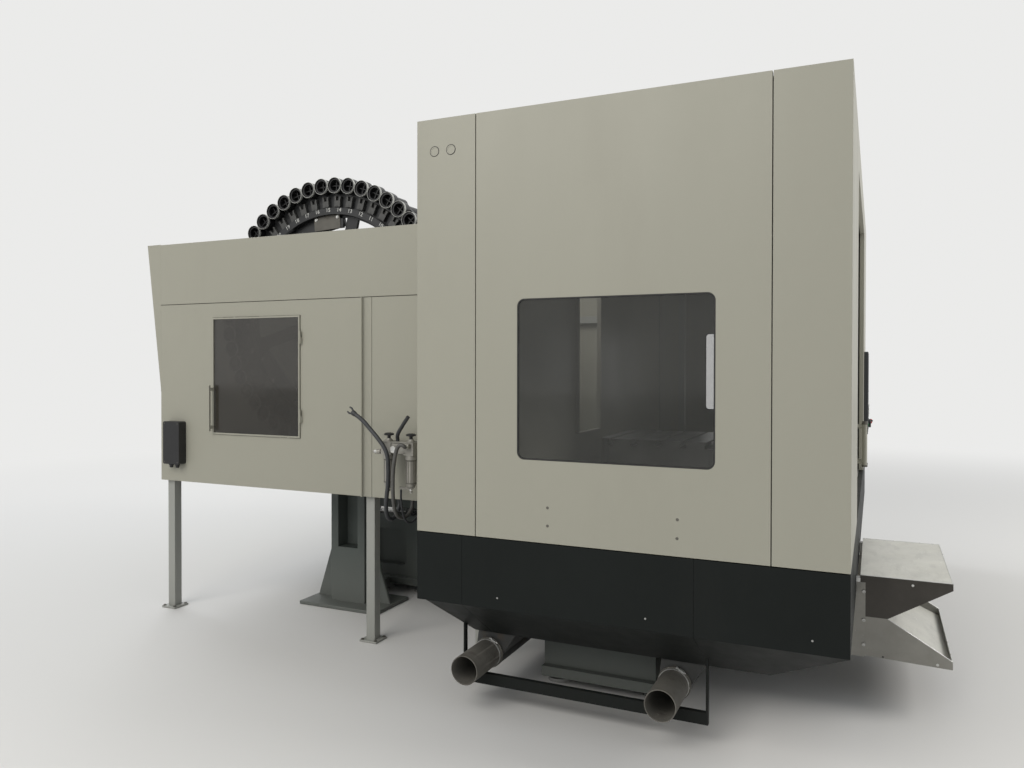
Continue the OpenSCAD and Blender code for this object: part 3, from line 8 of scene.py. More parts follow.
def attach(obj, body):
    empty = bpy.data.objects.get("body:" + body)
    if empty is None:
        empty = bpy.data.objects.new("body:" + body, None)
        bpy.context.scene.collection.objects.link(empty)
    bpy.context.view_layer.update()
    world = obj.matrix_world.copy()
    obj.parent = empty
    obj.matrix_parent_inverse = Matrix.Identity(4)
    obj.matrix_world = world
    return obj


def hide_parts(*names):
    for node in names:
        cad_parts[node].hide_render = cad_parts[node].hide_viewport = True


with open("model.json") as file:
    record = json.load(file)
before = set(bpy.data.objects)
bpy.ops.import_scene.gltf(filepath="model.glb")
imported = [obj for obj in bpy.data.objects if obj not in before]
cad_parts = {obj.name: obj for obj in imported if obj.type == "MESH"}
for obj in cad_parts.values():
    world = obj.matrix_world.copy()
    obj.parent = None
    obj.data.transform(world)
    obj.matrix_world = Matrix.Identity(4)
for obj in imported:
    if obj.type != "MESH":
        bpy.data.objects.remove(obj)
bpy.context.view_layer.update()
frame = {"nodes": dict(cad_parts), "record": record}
scene = bpy.context.scene
mm = 0.001  # the CAD source is in millimetres, the scene in metres
toLeft, toRight = (-1, 0, 0), (1, 0, 0)
toFront, toBack = (0, -1, 0), (0, 1, 0)
upward, downward = (0, 0, 1), (0, 0, -1)
print("frame loaded,", len(frame["nodes"]), "solids")

cameraSettings = {
    "place": (-5.4528, -1.0304, 1.6699),
    "yaw": 0.4274,      # from +X towards +Y
    "pitch": -0.0098,
    "roll": 0.0013,
    "lens": 28.05,      # on a 36 mm sensor
    "shiftY": -0.0117,
}


def placeCamera(s):
    ahead = Vector((math.cos(s["pitch"]) * math.cos(s["yaw"]),
                    math.cos(s["pitch"]) * math.sin(s["yaw"]), math.sin(s["pitch"])))
    right = ahead.cross(Vector(upward)).normalized()
    up = right.cross(ahead)
    tilt = Matrix.Rotation(-s["roll"], 3, ahead)
    right, up = tilt @ right, tilt @ up
    data = bpy.data.cameras.new("hallCamera")
    data.lens, data.sensor_width, data.sensor_fit = s["lens"], 36, "HORIZONTAL"
    data.shift_y = s["shiftY"]
    data.clip_end = 200
    camera = bpy.data.objects.new("hallCamera", data)
    turned = Matrix((right, up, -ahead)).transposed().to_4x4()
    camera.matrix_world = Matrix.Translation(s["place"]) @ turned
    scene.collection.objects.link(camera)
    scene.camera = camera


placeCamera(cameraSettings)
print("camera placed")


def blankFinish(name):
    made = bpy.data.materials.new(name)
    made.use_nodes = True
    tree = made.node_tree
    return made, tree, tree.nodes["Principled BSDF"]


def feed(tree, socket, value):
    # an input takes a link where the value is another node's output
    if isinstance(value, bpy.types.NodeSocket):
        tree.links.new(value, socket)
    else:
        socket.default_value = value


def node(tree, kind, **values):
    made = tree.nodes.new(kind)
    for key, value in values.items():
        if hasattr(made, key):
            setattr(made, key, value)
        else:
            feed(tree, made.inputs[key.replace("_", " ")], value)
    return made


def mapped(tree, place, stretch):
    return node(tree, "ShaderNodeMapping", Vector=place, Scale=stretch).outputs["Vector"]


def noise(tree, place, **values):
    return node(tree, "ShaderNodeTexNoise", Vector=place, **values).outputs["Fac"]


def remap(tree, value, low, high, start, end):
    made = node(tree, "ShaderNodeMapRange", clamp=True, Value=value,
                From_Min=low, From_Max=high, To_Min=start, To_Max=end)
    return made.outputs["Result"]


def shade(tree, value, low, high, dark, light):
    made = node(tree, "ShaderNodeValToRGB", Fac=value)
    for stop, place, colour in zip(made.color_ramp.elements, (low, high), (dark, light)):
        stop.position = place
        stop.color = [*colour, 1]
    return made.outputs["Color"]


def overlaid(tree, share, under, over):
    made = node(tree, "ShaderNodeMix", data_type="RGBA", Factor=share)
    feed(tree, made.inputs[6], under)
    feed(tree, made.inputs[7], [*over, 1])
    return made.outputs[2]


def calculated(tree, operation, *values, **options):
    made = node(tree, "ShaderNodeMath", operation=operation, **options)
    for socket, value in zip(made.inputs, values):
        feed(tree, socket, value)
    return made.outputs["Value"]


dustSettings = {"colour": (0.20, 0.19, 0.17), "ragged": 0.3}
glossSpread = 0.06


def paintedFinish(name, s):
    made, tree, shader = blankFinish(name)
    where = node(tree, "ShaderNodeTexCoord").outputs["Object"]
    # broad mottling of the colour
    spread = mapped(tree, where, s.get("stretch", (1, 1, 1)))
    cloud = noise(tree, spread, Scale=s.get("mottleScale", 1.4), Detail=5.0, Roughness=0.6)
    shift = s.get("mottle", 0.05)
    colour = shade(tree, cloud, 0.3, 0.7, [c * (1 - shift) for c in s["colour"]],
                   [min(1, c * (1 + shift)) for c in s["colour"]])
    # stains and worn spots
    for tint, scale, start, soft, amount, *stretch in s.get("stains", ()):
        run = mapped(tree, where, *(stretch or [(1, 1, 1)]))
        patch = noise(tree, run, Scale=scale, Detail=8.0, Roughness=0.65)
        colour = overlaid(tree, remap(tree, patch, start, start + soft, 0, amount), colour, tint)
    # dust that settles low down
    if "dust" in s:
        top, bottom, amount = s["dust"]
        height = node(tree, "ShaderNodeSeparateXYZ", Vector=where).outputs["Z"]
        ragged = calculated(tree, "MULTIPLY_ADD", cloud, dustSettings["ragged"], height)
        share = remap(tree, ragged, top, bottom, 0, amount)
        colour = overlaid(tree, share, colour, dustSettings["colour"])
    # gloss that varies a little, and the grain of the surface
    smear = noise(tree, spread, Scale=s.get("smearScale", 7.0), Detail=6.0, Roughness=0.6)
    gloss = remap(tree, smear, 0.3, 0.7, s["rough"] - glossSpread, s["rough"] + glossSpread)
    grain = noise(tree, mapped(tree, where, s.get("grainStretch", (1, 1, 1))),
                  Scale=s.get("grainScale", 260.0), Detail=3.0, Roughness=0.5)
    bump = node(tree, "ShaderNodeBump", Strength=s.get("grain", 0.1),
                Distance=s.get("grainDepth", 0.0006), Height=grain)
    values = {"Base Color": colour, "Metallic": s.get("metal", 0.0), "Roughness": gloss,
              "Specular IOR Level": s.get("specular", 0.5), "Normal": bump.outputs["Normal"]}
    if "coat" in s:
        values.update({"Coat Weight": s["coat"], "Coat Roughness": 0.2})
    for key, value in values.items():
        feed(tree, shader.inputs[key], value)
    return made


def glassFinish(name, s):
    made, tree, shader = blankFinish(name)
    film = noise(tree, node(tree, "ShaderNodeTexCoord").outputs["Object"],
                 Scale=3.0, Detail=7.0, Roughness=0.65)
    values = {"Base Color": shade(tree, film, 0.35, 0.75, s["colour"], [c * 1.5 for c in s["colour"]]),
              "Roughness": remap(tree, film, 0.35, 0.75, 0.03, 0.12),
              "Alpha": s["alpha"], "Specular IOR Level": 0.9}
    for key, value in values.items():
        feed(tree, shader.inputs[key], value)
    return made


# stains are rows of colour, noise scale, start, softness, amount and, for some, stretch
# dust is (height where it starts, height where it is full, amount)
finishSettings = {
    "wall_paint": {
        "colour": (0.318, 0.310, 0.256), "rough": 0.42, "specular": 0.4, "mottle": 0.025, "mottleScale": 0.8,
        "stretch": (1, 1, 0.35), "grain": 0.05, "grainScale": 420, "smearScale": 2.2,
        "stains": [((0.25, 0.235, 0.19), 1.3, 0.56, 0.2, 0.22, (1, 1, 0.25)),
                   ((0.37, 0.35, 0.29), 26, 0.68, 0.05, 0.3)]},
    # the skirt's own black paint, set darker still as painted shade for the deep shade on the pan's slope
    "skirt_paint": {
        "colour": (0.0095, 0.0115, 0.0108), "rough": 0.5, "specular": 0.12, "mottle": 0.12,
        "mottleScale": 1.6, "grainScale": 380, "dust": (0.7, 0.1, 0.03),
        "stains": [((0.022, 0.022, 0.020), 2.2, 0.55, 0.25, 0.25, (1, 1, 0.3))]},
    "frame_paint": {
        "colour": (0.30, 0.305, 0.28), "rough": 0.5, "grainScale": 300, "dust": (0.5, 0.0, 0.3)},
    # darker than the bed's own paint: painted shade for the shadow under the chip pan; the dust is real
    "bed_paint": {
        "colour": (0.085, 0.098, 0.09), "rough": 0.5, "specular": 0.35, "mottle": 0.1, "grain": 0.35,
        "grainScale": 90, "grainDepth": 0.0015, "dust": (0.6, 0.0, 0.35)},
    "table_iron": {
        "colour": (0.30, 0.30, 0.29), "metal": 0.85, "rough": 0.36, "mottle": 0.12, "mottleScale": 4,
        "grainScale": 60, "grainStretch": (1, 24, 1),
        "stains": [((0.17, 0.14, 0.11), 9, 0.62, 0.1, 0.5)]},
    "motor_paint": {
        "colour": (0.07, 0.09, 0.10), "rough": 0.38, "grain": 0.15, "grainScale": 200,
        "dust": (0.4, 0.1, 0.2)},
    "magazine_paint": {
        "colour": (0.016, 0.017, 0.018), "rough": 0.38, "mottle": 0.2, "mottleScale": 9,
        "grain": 0.15, "grainScale": 240,
        "stains": [((0.10, 0.10, 0.10), 60, 0.68, 0.04, 0.5)]},
    "panel_paint": {"colour": (0.030, 0.033, 0.036), "rough": 0.55, "grain": 0.4, "grainScale": 900},
    "chute_paint": {
        "colour": (0.27, 0.26, 0.23), "rough": 0.42, "mottle": 0.1, "mottleScale": 6,
        "grainScale": 200,
        "stains": [((0.19, 0.185, 0.165), 8, 0.5, 0.22, 0.4),
                   ((0.42, 0.41, 0.38), 45, 0.66, 0.04, 0.7)]},
    # darker than the tubes' own light beige-grey paint: painted shade for the deep shade they sit in; the
    # stains are real dirt
    "tube_paint": {
        "colour": (0.135, 0.128, 0.112), "rough": 0.6, "specular": 0.3, "mottle": 0.16, "mottleScale": 9,
        "grain": 0.3, "grainScale": 140,
        "stains": [((0.07, 0.06, 0.05), 14, 0.56, 0.12, 0.6),
                   ((0.22, 0.21, 0.19), 30, 0.63, 0.06, 0.5)]},
    "steel": {
        "colour": (0.42, 0.42, 0.41), "metal": 1.0, "rough": 0.36, "mottle": 0.1, "mottleScale": 12,
        "grain": 0.12, "grainScale": 120, "grainStretch": (1, 1, 14)},
    "ground_steel": {
        "colour": (0.55, 0.55, 0.54), "metal": 1.0, "rough": 0.22, "mottle": 0.06, "mottleScale": 8,
        "grain": 0.06, "grainScale": 90, "grainStretch": (14, 1, 1)},
    # held nearly as dark as the skirt: painted shade for the shadow under the chip pan; the brown stains are
    # real rust
    "trough_steel": {
        "colour": (0.055, 0.056, 0.054), "metal": 0.3, "rough": 0.5, "mottle": 0.2, "mottleScale": 10,
        "grain": 0.2, "grainScale": 120,
        "stains": [((0.09, 0.07, 0.05), 12, 0.56, 0.1, 0.6)]},
    "cast_aluminium": {
        "colour": (0.30, 0.29, 0.26), "metal": 0.45, "rough": 0.5, "mottle": 0.1, "mottleScale": 22,
        "grain": 0.35, "grainScale": 420},
    "seal_rubber": {"colour": (0.012, 0.012, 0.012), "rough": 0.6, "grain": 0.2, "grainScale": 500},
    "hose_rubber": {
        "colour": (0.030, 0.032, 0.035), "rough": 0.5, "mottle": 0.2, "mottleScale": 20,
        "grain": 0.2, "grainScale": 500},
    "black_plastic": {
        "colour": (0.013, 0.013, 0.014), "rough": 0.35, "mottle": 0.15, "mottleScale": 30,
        "grain": 0.12, "grainScale": 700},
    "collar_plastic": {
        "colour": (0.50, 0.50, 0.47), "rough": 0.4, "mottle": 0.08, "mottleScale": 30,
        "grainScale": 500,
        "stains": [((0.16, 0.16, 0.15), 40, 0.58, 0.1, 0.5)]},
    "red_plastic": {
        "colour": (0.42, 0.015, 0.012), "rough": 0.3, "mottle": 0.08, "mottleScale": 40,
        "grain": 0.05, "grainScale": 600},
    "green_plastic": {
        "colour": (0.02, 0.24, 0.06), "rough": 0.3, "mottle": 0.08, "mottleScale": 40,
        "grain": 0.05, "grainScale": 600},
    # bright metal for screws, bands, lugs and fittings; on the chute's hem strips and slope rims it is a
    # painted highlight along the edges
    "bright_metal_and_edge_highlight": {
        "colour": (0.62, 0.62, 0.60), "metal": 0.7, "rough": 0.3, "mottle": 0.1, "mottleScale": 30},
    "dull_zinc": {
        "colour": (0.13, 0.125, 0.11), "metal": 0.6, "rough": 0.45, "mottle": 0.1, "mottleScale": 60},
    "clip_grey": {
        "colour": (0.062, 0.062, 0.059), "rough": 0.4, "mottle": 0.15, "mottleScale": 40,
        "grainScale": 400},
    # the chute hood's top: chute paint made far lighter as painted highlight for the light falling on it
    # from above, with real scuffs as stains
    "painted_lit_top_and_scuffs": {
        "colour": (0.60, 0.59, 0.53), "rough": 0.4, "mottle": 0.08, "mottleScale": 5,
        "grainScale": 200,
        "stains": [((0.42, 0.41, 0.37), 6, 0.5, 0.2, 0.5, (1, 3, 1)),
                   ((0.78, 0.77, 0.73), 22, 0.62, 0.06, 0.6, (1, 4, 1))]},
    # the chute hood's -X side: chute paint made far darker as painted shade for the side turned from the
    # light
    "painted_shade_side": {
        "colour": (0.068, 0.062, 0.054), "rough": 0.45, "specular": 0.2, "mottle": 0.16, "mottleScale": 5,
        "grainScale": 200,
        "stains": [((0.10, 0.092, 0.08), 9, 0.55, 0.2, 0.5)]},
    "ribbed_hose": {
        "colour": (0.085, 0.083, 0.078), "rough": 0.5, "mottle": 0.15, "mottleScale": 20,
        "grain": 1.0, "grainDepth": 0.002, "grainScale": 150, "grainStretch": (0.05, 0.05, 1)},
    "lit_screen": {
        "colour": (0.020, 0.028, 0.034), "rough": 0.12, "mottle": 0.2, "mottleScale": 3,
        "grain": 0.02, "coat": 0.5},
    "white_plastic": {
        "colour": (0.62, 0.62, 0.59), "rough": 0.42, "mottle": 0.05, "mottleScale": 30, "grain": 0.08},
}
glassSettings = {
    "dark_glass": {"colour": (0.085, 0.086, 0.080), "alpha": 0.2},
    "smoked_glass": {"colour": (0.030, 0.027, 0.022), "alpha": 0.72},
}
finishes = {name: paintedFinish(name, s) for name, s in finishSettings.items()}
finishes.update({name: glassFinish(name, s) for name, s in glassSettings.items()})
slotOf = {row["node"]: row["material_slot"] for row in frame["record"]["subparts"]}
for name, solid in frame["nodes"].items():
    solid.data.materials.clear()
    solid.data.materials.append(finishes["smoked_glass" if name == "access_door_window" else slotOf[name]])
print("finishes made,", len(finishes))

hoseSettings = {
    "supplyHose": {
        "radius": 11, "length": 0.725, "far": "object", "stiff": "medium", "lay": "hanging",
        "finish": "ribbed_hose",
        "route": [(-1645.2, 1352, 1207), (-1660, 1352, 1207), (-1668, 1360, 1216), (-1670, 1375, 1218),
                  (-1670, 1392, 1206), (-1669, 1406, 1172), (-1668, 1418, 1120), (-1666, 1425, 1070),
                  (-1662, 1430, 990), (-1656, 1432, 920), (-1640, 1434, 860), (-1610, 1437, 815),
                  (-1565, 1440, 790), (-1510, 1443, 785), (-1460, 1446, 800), (-1428, 1449, 828),
                  (-1419, 1450, 855), (-1419, 1450, 872.8)]},
    "shopHose": {
        "radius": 12, "length": 0.967, "far": "fitting", "stiff": "stiff", "lay": "loose",
        "route": [(-1419, 1540, 872.8), (-1419, 1540, 855), (-1430, 1537, 822), (-1465, 1530, 790),
                  (-1515, 1521, 772), (-1570, 1511, 778), (-1615, 1500, 812), (-1642, 1488, 865),
                  (-1650, 1478, 930), (-1650, 1470, 1000), (-1650, 1469, 1080), (-1650, 1475, 1150),
                  (-1650, 1496, 1198), (-1650, 1530, 1239), (-1650, 1590, 1299), (-1650, 1646, 1350),
                  (-1650, 1714, 1393)]},
    "blowHose": {
        "radius": 11, "length": 0.19, "far": "bare", "stiff": "stiff", "lay": "loose",
        "route": [(-1572, 1456, 1225.2), (-1572, 1456, 1240), (-1582, 1450, 1262), (-1600, 1410, 1314),
                  (-1620, 1356, 1373)]},
    "drainLine": {
        "radius": 6, "length": 0.414, "far": "object", "stiff": "medium", "lay": "hanging",
        "route": [(-1585, 1425, 956.8), (-1585, 1425, 940), (-1586, 1424, 900), (-1587, 1418, 850),
                  (-1580, 1412, 805), (-1555, 1408, 770), (-1520, 1405, 755), (-1475, 1402, 765),
                  (-1436, 1400, 795), (-1419, 1400, 840), (-1419, 1400, 872.8)]},
}


def layHose(name, s):
    data = bpy.data.curves.new(name, "CURVE")
    data.dimensions = "3D"
    line = data.splines.new("BEZIER")
    line.bezier_points.add(len(s["route"]) - 1)
    for spot, where in zip(line.bezier_points, s["route"]):
        spot.co = Vector(where) * mm
        spot.handle_left_type = spot.handle_right_type = "AUTO"
    data.bevel_depth = s["radius"] * mm
    data.bevel_resolution = 6
    data.resolution_u = 8
    data.use_fill_caps = True
    data.materials.append(finishes[s.get("finish", "hose_rubber")])
    hose = bpy.data.objects.new(name, data)
    scene.collection.objects.link(hose)
    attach(hose, "machine")
    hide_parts("air_hoses")
    print(name, "length", round(line.calc_length(), 4))
    return hose


hoses = {name: layHose(name, s) for name, s in hoseSettings.items()}

bodyOf = {solid: body for body, solids in frame["record"]["behaviour"]["bodies"].items() for solid in solids}


def edgesAt(verts):
    return list({e for v in verts for e in v.link_edges})


def soften(bm, edges, radius, steps=2):
    bmesh.ops.bevel(bm, geom=edges, offset=radius * mm, segments=steps, profile=0.5,
                    affect="EDGES", clamp_overlap=True, material=-1)


def block(bm, low, high, edge=0.0, steps=2, turn=None):
    low, high = Vector(low) * mm, Vector(high) * mm
    corners = bmesh.ops.create_cube(bm, size=1.0)["verts"]
    bmesh.ops.scale(bm, vec=high - low, verts=corners)
    bmesh.ops.translate(bm, vec=(low + high) / 2, verts=corners)
    if turn:
        bmesh.ops.transform(bm, matrix=turn, verts=corners)
    if edge:
        soften(bm, edgesAt(corners), edge, steps)


def rod(bm, foot, head, radius, tip=None, steps=24, edge=0.0):
    foot, head = Vector(foot) * mm, Vector(head) * mm
    along = head - foot
    skin = bmesh.ops.create_cone(bm, cap_ends=True, segments=steps, radius1=radius * mm,
                                 radius2=(radius if tip is None else tip) * mm, depth=along.length)["verts"]
    place = Matrix.Translation((foot + head) / 2) @ along.to_track_quat("Z", "Y").to_matrix().to_4x4()
    bmesh.ops.transform(bm, matrix=place, verts=skin)
    if edge:
        soften(bm, [e for e in edgesAt(skin) if max(len(f.verts) for f in e.link_faces) > 4], edge)


def lathe(bm, outline, foot, axis, steps=32):
    # outline holds (distance along the axis, radius) in mm
    axis, foot = Vector(axis), Vector(foot) * mm
    side = axis.orthogonal().normalized()
    spots = [bm.verts.new(foot + axis * (a * mm) + side * (r * mm)) for a, r in outline]
    lines = [bm.edges.new(pair) for pair in zip(spots, spots[1:])]
    bmesh.ops.spin(bm, geom=spots + lines, cent=foot, axis=axis, angle=math.tau, steps=steps, use_merge=True)


def slab(bm, outline, thick, place, edge=0.0):
    # a flat outline in mm, raised by its thickness, then put in place
    spots = [bm.verts.new((a * mm, b * mm, 0)) for a, b in outline]
    face = bm.faces.new(spots)
    raised = bmesh.ops.extrude_face_region(bm, geom=[face])["geom"]
    tops = [v for v in raised if isinstance(v, bmesh.types.BMVert)]
    bmesh.ops.translate(bm, vec=(0, 0, thick * mm), verts=tops)
    bmesh.ops.transform(bm, matrix=place, verts=spots + tops)
    if edge:
        soften(bm, edgesAt(spots + tops), edge)


def frameRing(bm, w, h, corner, width, thick, place, edge):
    # a rounded rectangular ring, outer size w by h, laid in XY and raised by thick
    ring = bmesh.new()
    spots = bmesh.ops.create_grid(ring, x_segments=1, y_segments=1, size=0.5)["verts"]
    bmesh.ops.scale(ring, vec=(w * mm, h * mm, 1), verts=spots)
    bmesh.ops.bevel(ring, geom=spots, offset=corner * mm, segments=6, profile=0.5,
                    affect="VERTICES", clamp_overlap=True, material=-1)
    ring.faces.ensure_lookup_table()
    middle = ring.faces[0]
    bmesh.ops.inset_region(ring, faces=[middle], thickness=width * mm, depth=0,
                           use_even_offset=True, use_boundary=True)
    bmesh.ops.delete(ring, geom=[middle], context="FACES_ONLY")
    raised = bmesh.ops.extrude_face_region(ring, geom=ring.faces[:])["geom"]
    tops = [v for v in raised if isinstance(v, bmesh.types.BMVert)]
    bmesh.ops.translate(ring, vec=(0, 0, thick * mm), verts=tops)
    soften(ring, [e for e in ring.edges if len(e.link_faces) == 2 and e.calc_face_angle(0) > 1.0], edge)
    stamp(bm, keepUnit(ring), place)


def keepUnit(bm):
    unit = bpy.data.meshes.new("unit")
    bm.to_mesh(unit)
    bm.free()
    return unit


def stamp(bm, unit, place):
    placed = unit.copy()
    placed.transform(place)
    bm.from_mesh(placed)
    bpy.data.meshes.remove(placed)


def facing(place, out):
    return Matrix.Translation(Vector(place) * mm) @ Vector(out).to_track_quat("Z", "Y").to_matrix().to_4x4()


def looking(place, right, up=upward):
    # local X and Y run along right and up, local Z comes out of the picture
    right, up = Vector(right), Vector(up)
    turn = Matrix((right, up, right.cross(up))).transposed().to_4x4()
    return Matrix.Translation(Vector(place) * mm) @ turn


sharpAngle = 38


def makePiece(bm, name, body, slot, finish=None, instead=(), turned=True):
    bmesh.ops.remove_doubles(bm, verts=bm.verts, dist=0.002 * mm)
    if turned:
        bmesh.ops.recalc_face_normals(bm, faces=bm.faces)
    mesh = bpy.data.meshes.new(name)
    bm.to_mesh(mesh)
    bm.free()
    mesh.materials.append(finishes[finish or slot])
    mesh.polygons.foreach_set("use_smooth", [True] * len(mesh.polygons))
    mesh.set_sharp_from_angle(angle=math.radians(sharpAngle))
    piece = bpy.data.objects.new(name, mesh)
    scene.collection.objects.link(piece)
    evened = piece.modifiers.new("evened", "WEIGHTED_NORMAL")
    evened.keep_sharp = True
    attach(piece, body)
    if instead:
        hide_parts(*instead)
    return piece


hoseEndSettings = {
    "collarLength": 26, "collarRadius": 14.5, "band": (8, 15.6), "fork": 30, "forkHalf": 17, "pin": 5.5,
}


def hoseFork(s, route):
    # clamp with a two-pronged hook on the free end of the shop air hose
    end, before = Vector(route[-1]), Vector(route[-2])
    out = (end - before).normalized()
    side = Vector(toRight).cross(out).normalized()
    length, radius = s["collarLength"], s["collarRadius"]
    place, band = s["band"]
    bm = bmesh.new()
    lathe(bm, [(-length, 12.2), (-length, radius - 1), (-length + 1.2, radius), (-place - 6, radius),
               (-place - 5, band), (-place, band), (-place + 1, radius), (-1.5, radius),
               (0.2, radius - 1.5), (0.2, 7), (-6, 6), (-6, 0)], end, out, steps=28)
    for way in (-1, 1):
        root = end + side * (way * 9) - out * 4
        bend = end + side * (way * s["forkHalf"]) + out * (s["fork"] * 0.45)
        tip = end + side * (way * s["forkHalf"] * 0.9) + out * s["fork"]
        rod(bm, root, bend, s["pin"], steps=14, edge=1.2)
        rod(bm, bend, tip, s["pin"], tip=s["pin"] * 0.8, steps=14, edge=1.5)
    return makePiece(bm, "shopHoseFork", "machine", "hose_rubber")


endFork = hoseFork(hoseEndSettings, hoseSettings["shopHose"]["route"])
print("hoses laid")

dressSettings = {
    # solid: (edge radius in mm, least depth of the faces beside it)
    "left_wall_panels": (3.0, 9), "right_wall_panels": (3.0, 9), "front_panels": (3.0, 9),
    "side_skirts": (3.0, 9), "end_skirts": (3.0, 9), "changer_wall": (2.5, 7),
    "right_changer_wall": (2.5, 9), "back_cover": (2.0, 9), "back_wall": (2.0, 9),
    "roof_panels": (2.5, 9), "chip_chute": (1.6, 6), "electrical_cabinet": (3.0, 9),
    "cabinet_door": (3.5, 9), "control_panel": (3.5, 8), "left_door": (4.0, 9), "right_door": (4.0, 9),
    "access_door": (1.5, 5), "door_tracks": (1.5, 6), "junction_box": (6.0, 9), "pan_floor": (2.0, 9),
    "bed_casting": (9.0, 25), "table_saddle": (5.0, 14), "rotary_table": (2.0, 8),
    "column": (10.0, 25), "spindle_head": (6.0, 14), "magazine_stand": (5.0, 14),
    "changer_gearbox": (6.0, 14), "change_arm": (3.0, 9), "transfer_arm": (2.5, 8),
    "auger_motors": (4.0, 9), "enclosure_frame": (4.0, 12), "changer_frame": (4.0, 12),
    "magazine_disc": (1.5, 5), "levelling_feet": (2.0, 5), "disconnect_handle": (3.0, 6),
    "window_seals": (1.2, 2.5), "discharge_tubes": (0.8, 2.5),
}
edgeSettings = {"shortest": 3.3, "flat": 0.5, "bend": 28}


def reach(face, edge):
    start, end = edge.verts[0].co, edge.verts[1].co
    along = (end - start).normalized()
    return max(((v.co - start) - along * (v.co - start).dot(along)).length for v in face.verts)


def dress(name, radius, depth, s):
    bm = bmesh.new()
    bm.from_mesh(frame["nodes"][name].data)
    bmesh.ops.remove_doubles(bm, verts=bm.verts, dist=0.00002)
    bmesh.ops.dissolve_limit(bm, angle_limit=math.radians(s["flat"]), verts=bm.verts, edges=bm.edges)
    edges = [e for e in bm.edges if len(e.link_faces) == 2 and e.calc_length() > s["shortest"] * mm
             and e.calc_face_angle_signed(0) > math.radians(s["bend"])
             and all(reach(f, e) > depth * mm for f in e.link_faces)]
    soften(bm, edges, radius)
    return makePiece(bm, name + ".dressed", bodyOf[name], slotOf[name], instead=[name], turned=False)


dressed = {name: dress(name, radius, depth, edgeSettings) for name, (radius, depth) in dressSettings.items()}
print("solids dressed,", len(dressSettings))

fastenerSettings = {
    "button": {"radius": 6.5, "height": 1.3, "steps": 18, "hexagon": False},
    "pin": {"radius": 4.5, "height": 1.2, "steps": 14, "hexagon": False},
    "socket": {"radius": 9.0, "height": 7.0, "steps": 18, "hexagon": False},
    "bolt": {"radius": 9.0, "height": 7.0, "steps": 18, "hexagon": True},
}


def fastener(s):
    # a low head with a hexagon socket, or a hexagon head on its washer
    bm = bmesh.new()
    r, h = s["radius"], s["height"]
    if s["hexagon"]:
        rod(bm, (0, 0, 0), (0, 0, h * 0.25), r * 1.3, steps=s["steps"], edge=0.3)
        rod(bm, (0, 0, h * 0.25), (0, 0, h), r, steps=6, edge=h * 0.1)
        return keepUnit(bm)
    rod(bm, (0, 0, 0), (0, 0, h), r, tip=r * 0.84, steps=s["steps"])
    top = max(bm.faces, key=lambda f: f.calc_center_median().z)
    bmesh.ops.inset_region(bm, faces=[top], thickness=r * 0.36 * mm, depth=0)
    bmesh.ops.inset_region(bm, faces=[top], thickness=r * 0.03 * mm, depth=-h * 0.7 * mm)
    return keepUnit(bm)


fasteners = {kind: fastener(s) for kind, s in fastenerSettings.items()}


def pointing(out, places):
    return [(place, out) for place in places]


def setFasteners(name, body, kind, rows, finish=None):
    bm = bmesh.new()
    for place, out in rows:
        stamp(bm, fasteners[kind], facing(place, out))
    return makePiece(bm, name, body, "steel", finish=finish)


wallScrewSettings = {
    "wall": [(-2185, 285, 1035), (-2185, 285, 955), (-2185, -291, 1030), (-2185, -290, 952)],
    "skirt": [(-2185, 531, 605), (-2185, -157, 603), (-2185, -815, 605)],
}
setFasteners("wallScrews", "machine", "button", pointing(toLeft, wallScrewSettings["wall"]),
             finish="dull_zinc")
setFasteners("skirtScrews", "machine", "pin", pointing(toLeft, wallScrewSettings["skirt"]))
print("panel screws set")

chuteSettings = {
    "left": -1190, "right": -290, "front": -1370, "back": -968, "top": 640, "hem": 4.0, "split": 437,
    "flange": [(-992, 240), (-916, 240), (-916, 516), (-951, 541), (-951, 604), (-992, 604)],
    "flangeThick": 3, "slope": ((-1091, 437), (-1368, 271.5)), "rim": 2.2, "inset": 1.5,
    "lug": {"wide": 44, "front": -969, "back": -949.5, "drop": (77, 17), "proud": 0.6},
    "screws": [(-1190, -1199, 612), (-1190, -1306, 247), (-293, -1313, 247)],
    "darkScrews": [(-1190, -1071, 250)], "flangeBolts": [(-985, z) for z in (300, 420, 560)],
}


def tintFaces(piece, finish, rule):
    # a second finish on the faces that the rule picks by direction and middle
    piece.data.materials.append(finishes[finish])
    slot = len(piece.data.materials) - 1
    for face in piece.data.polygons:
        if rule(face.normal, face.center):
            face.material_index = slot


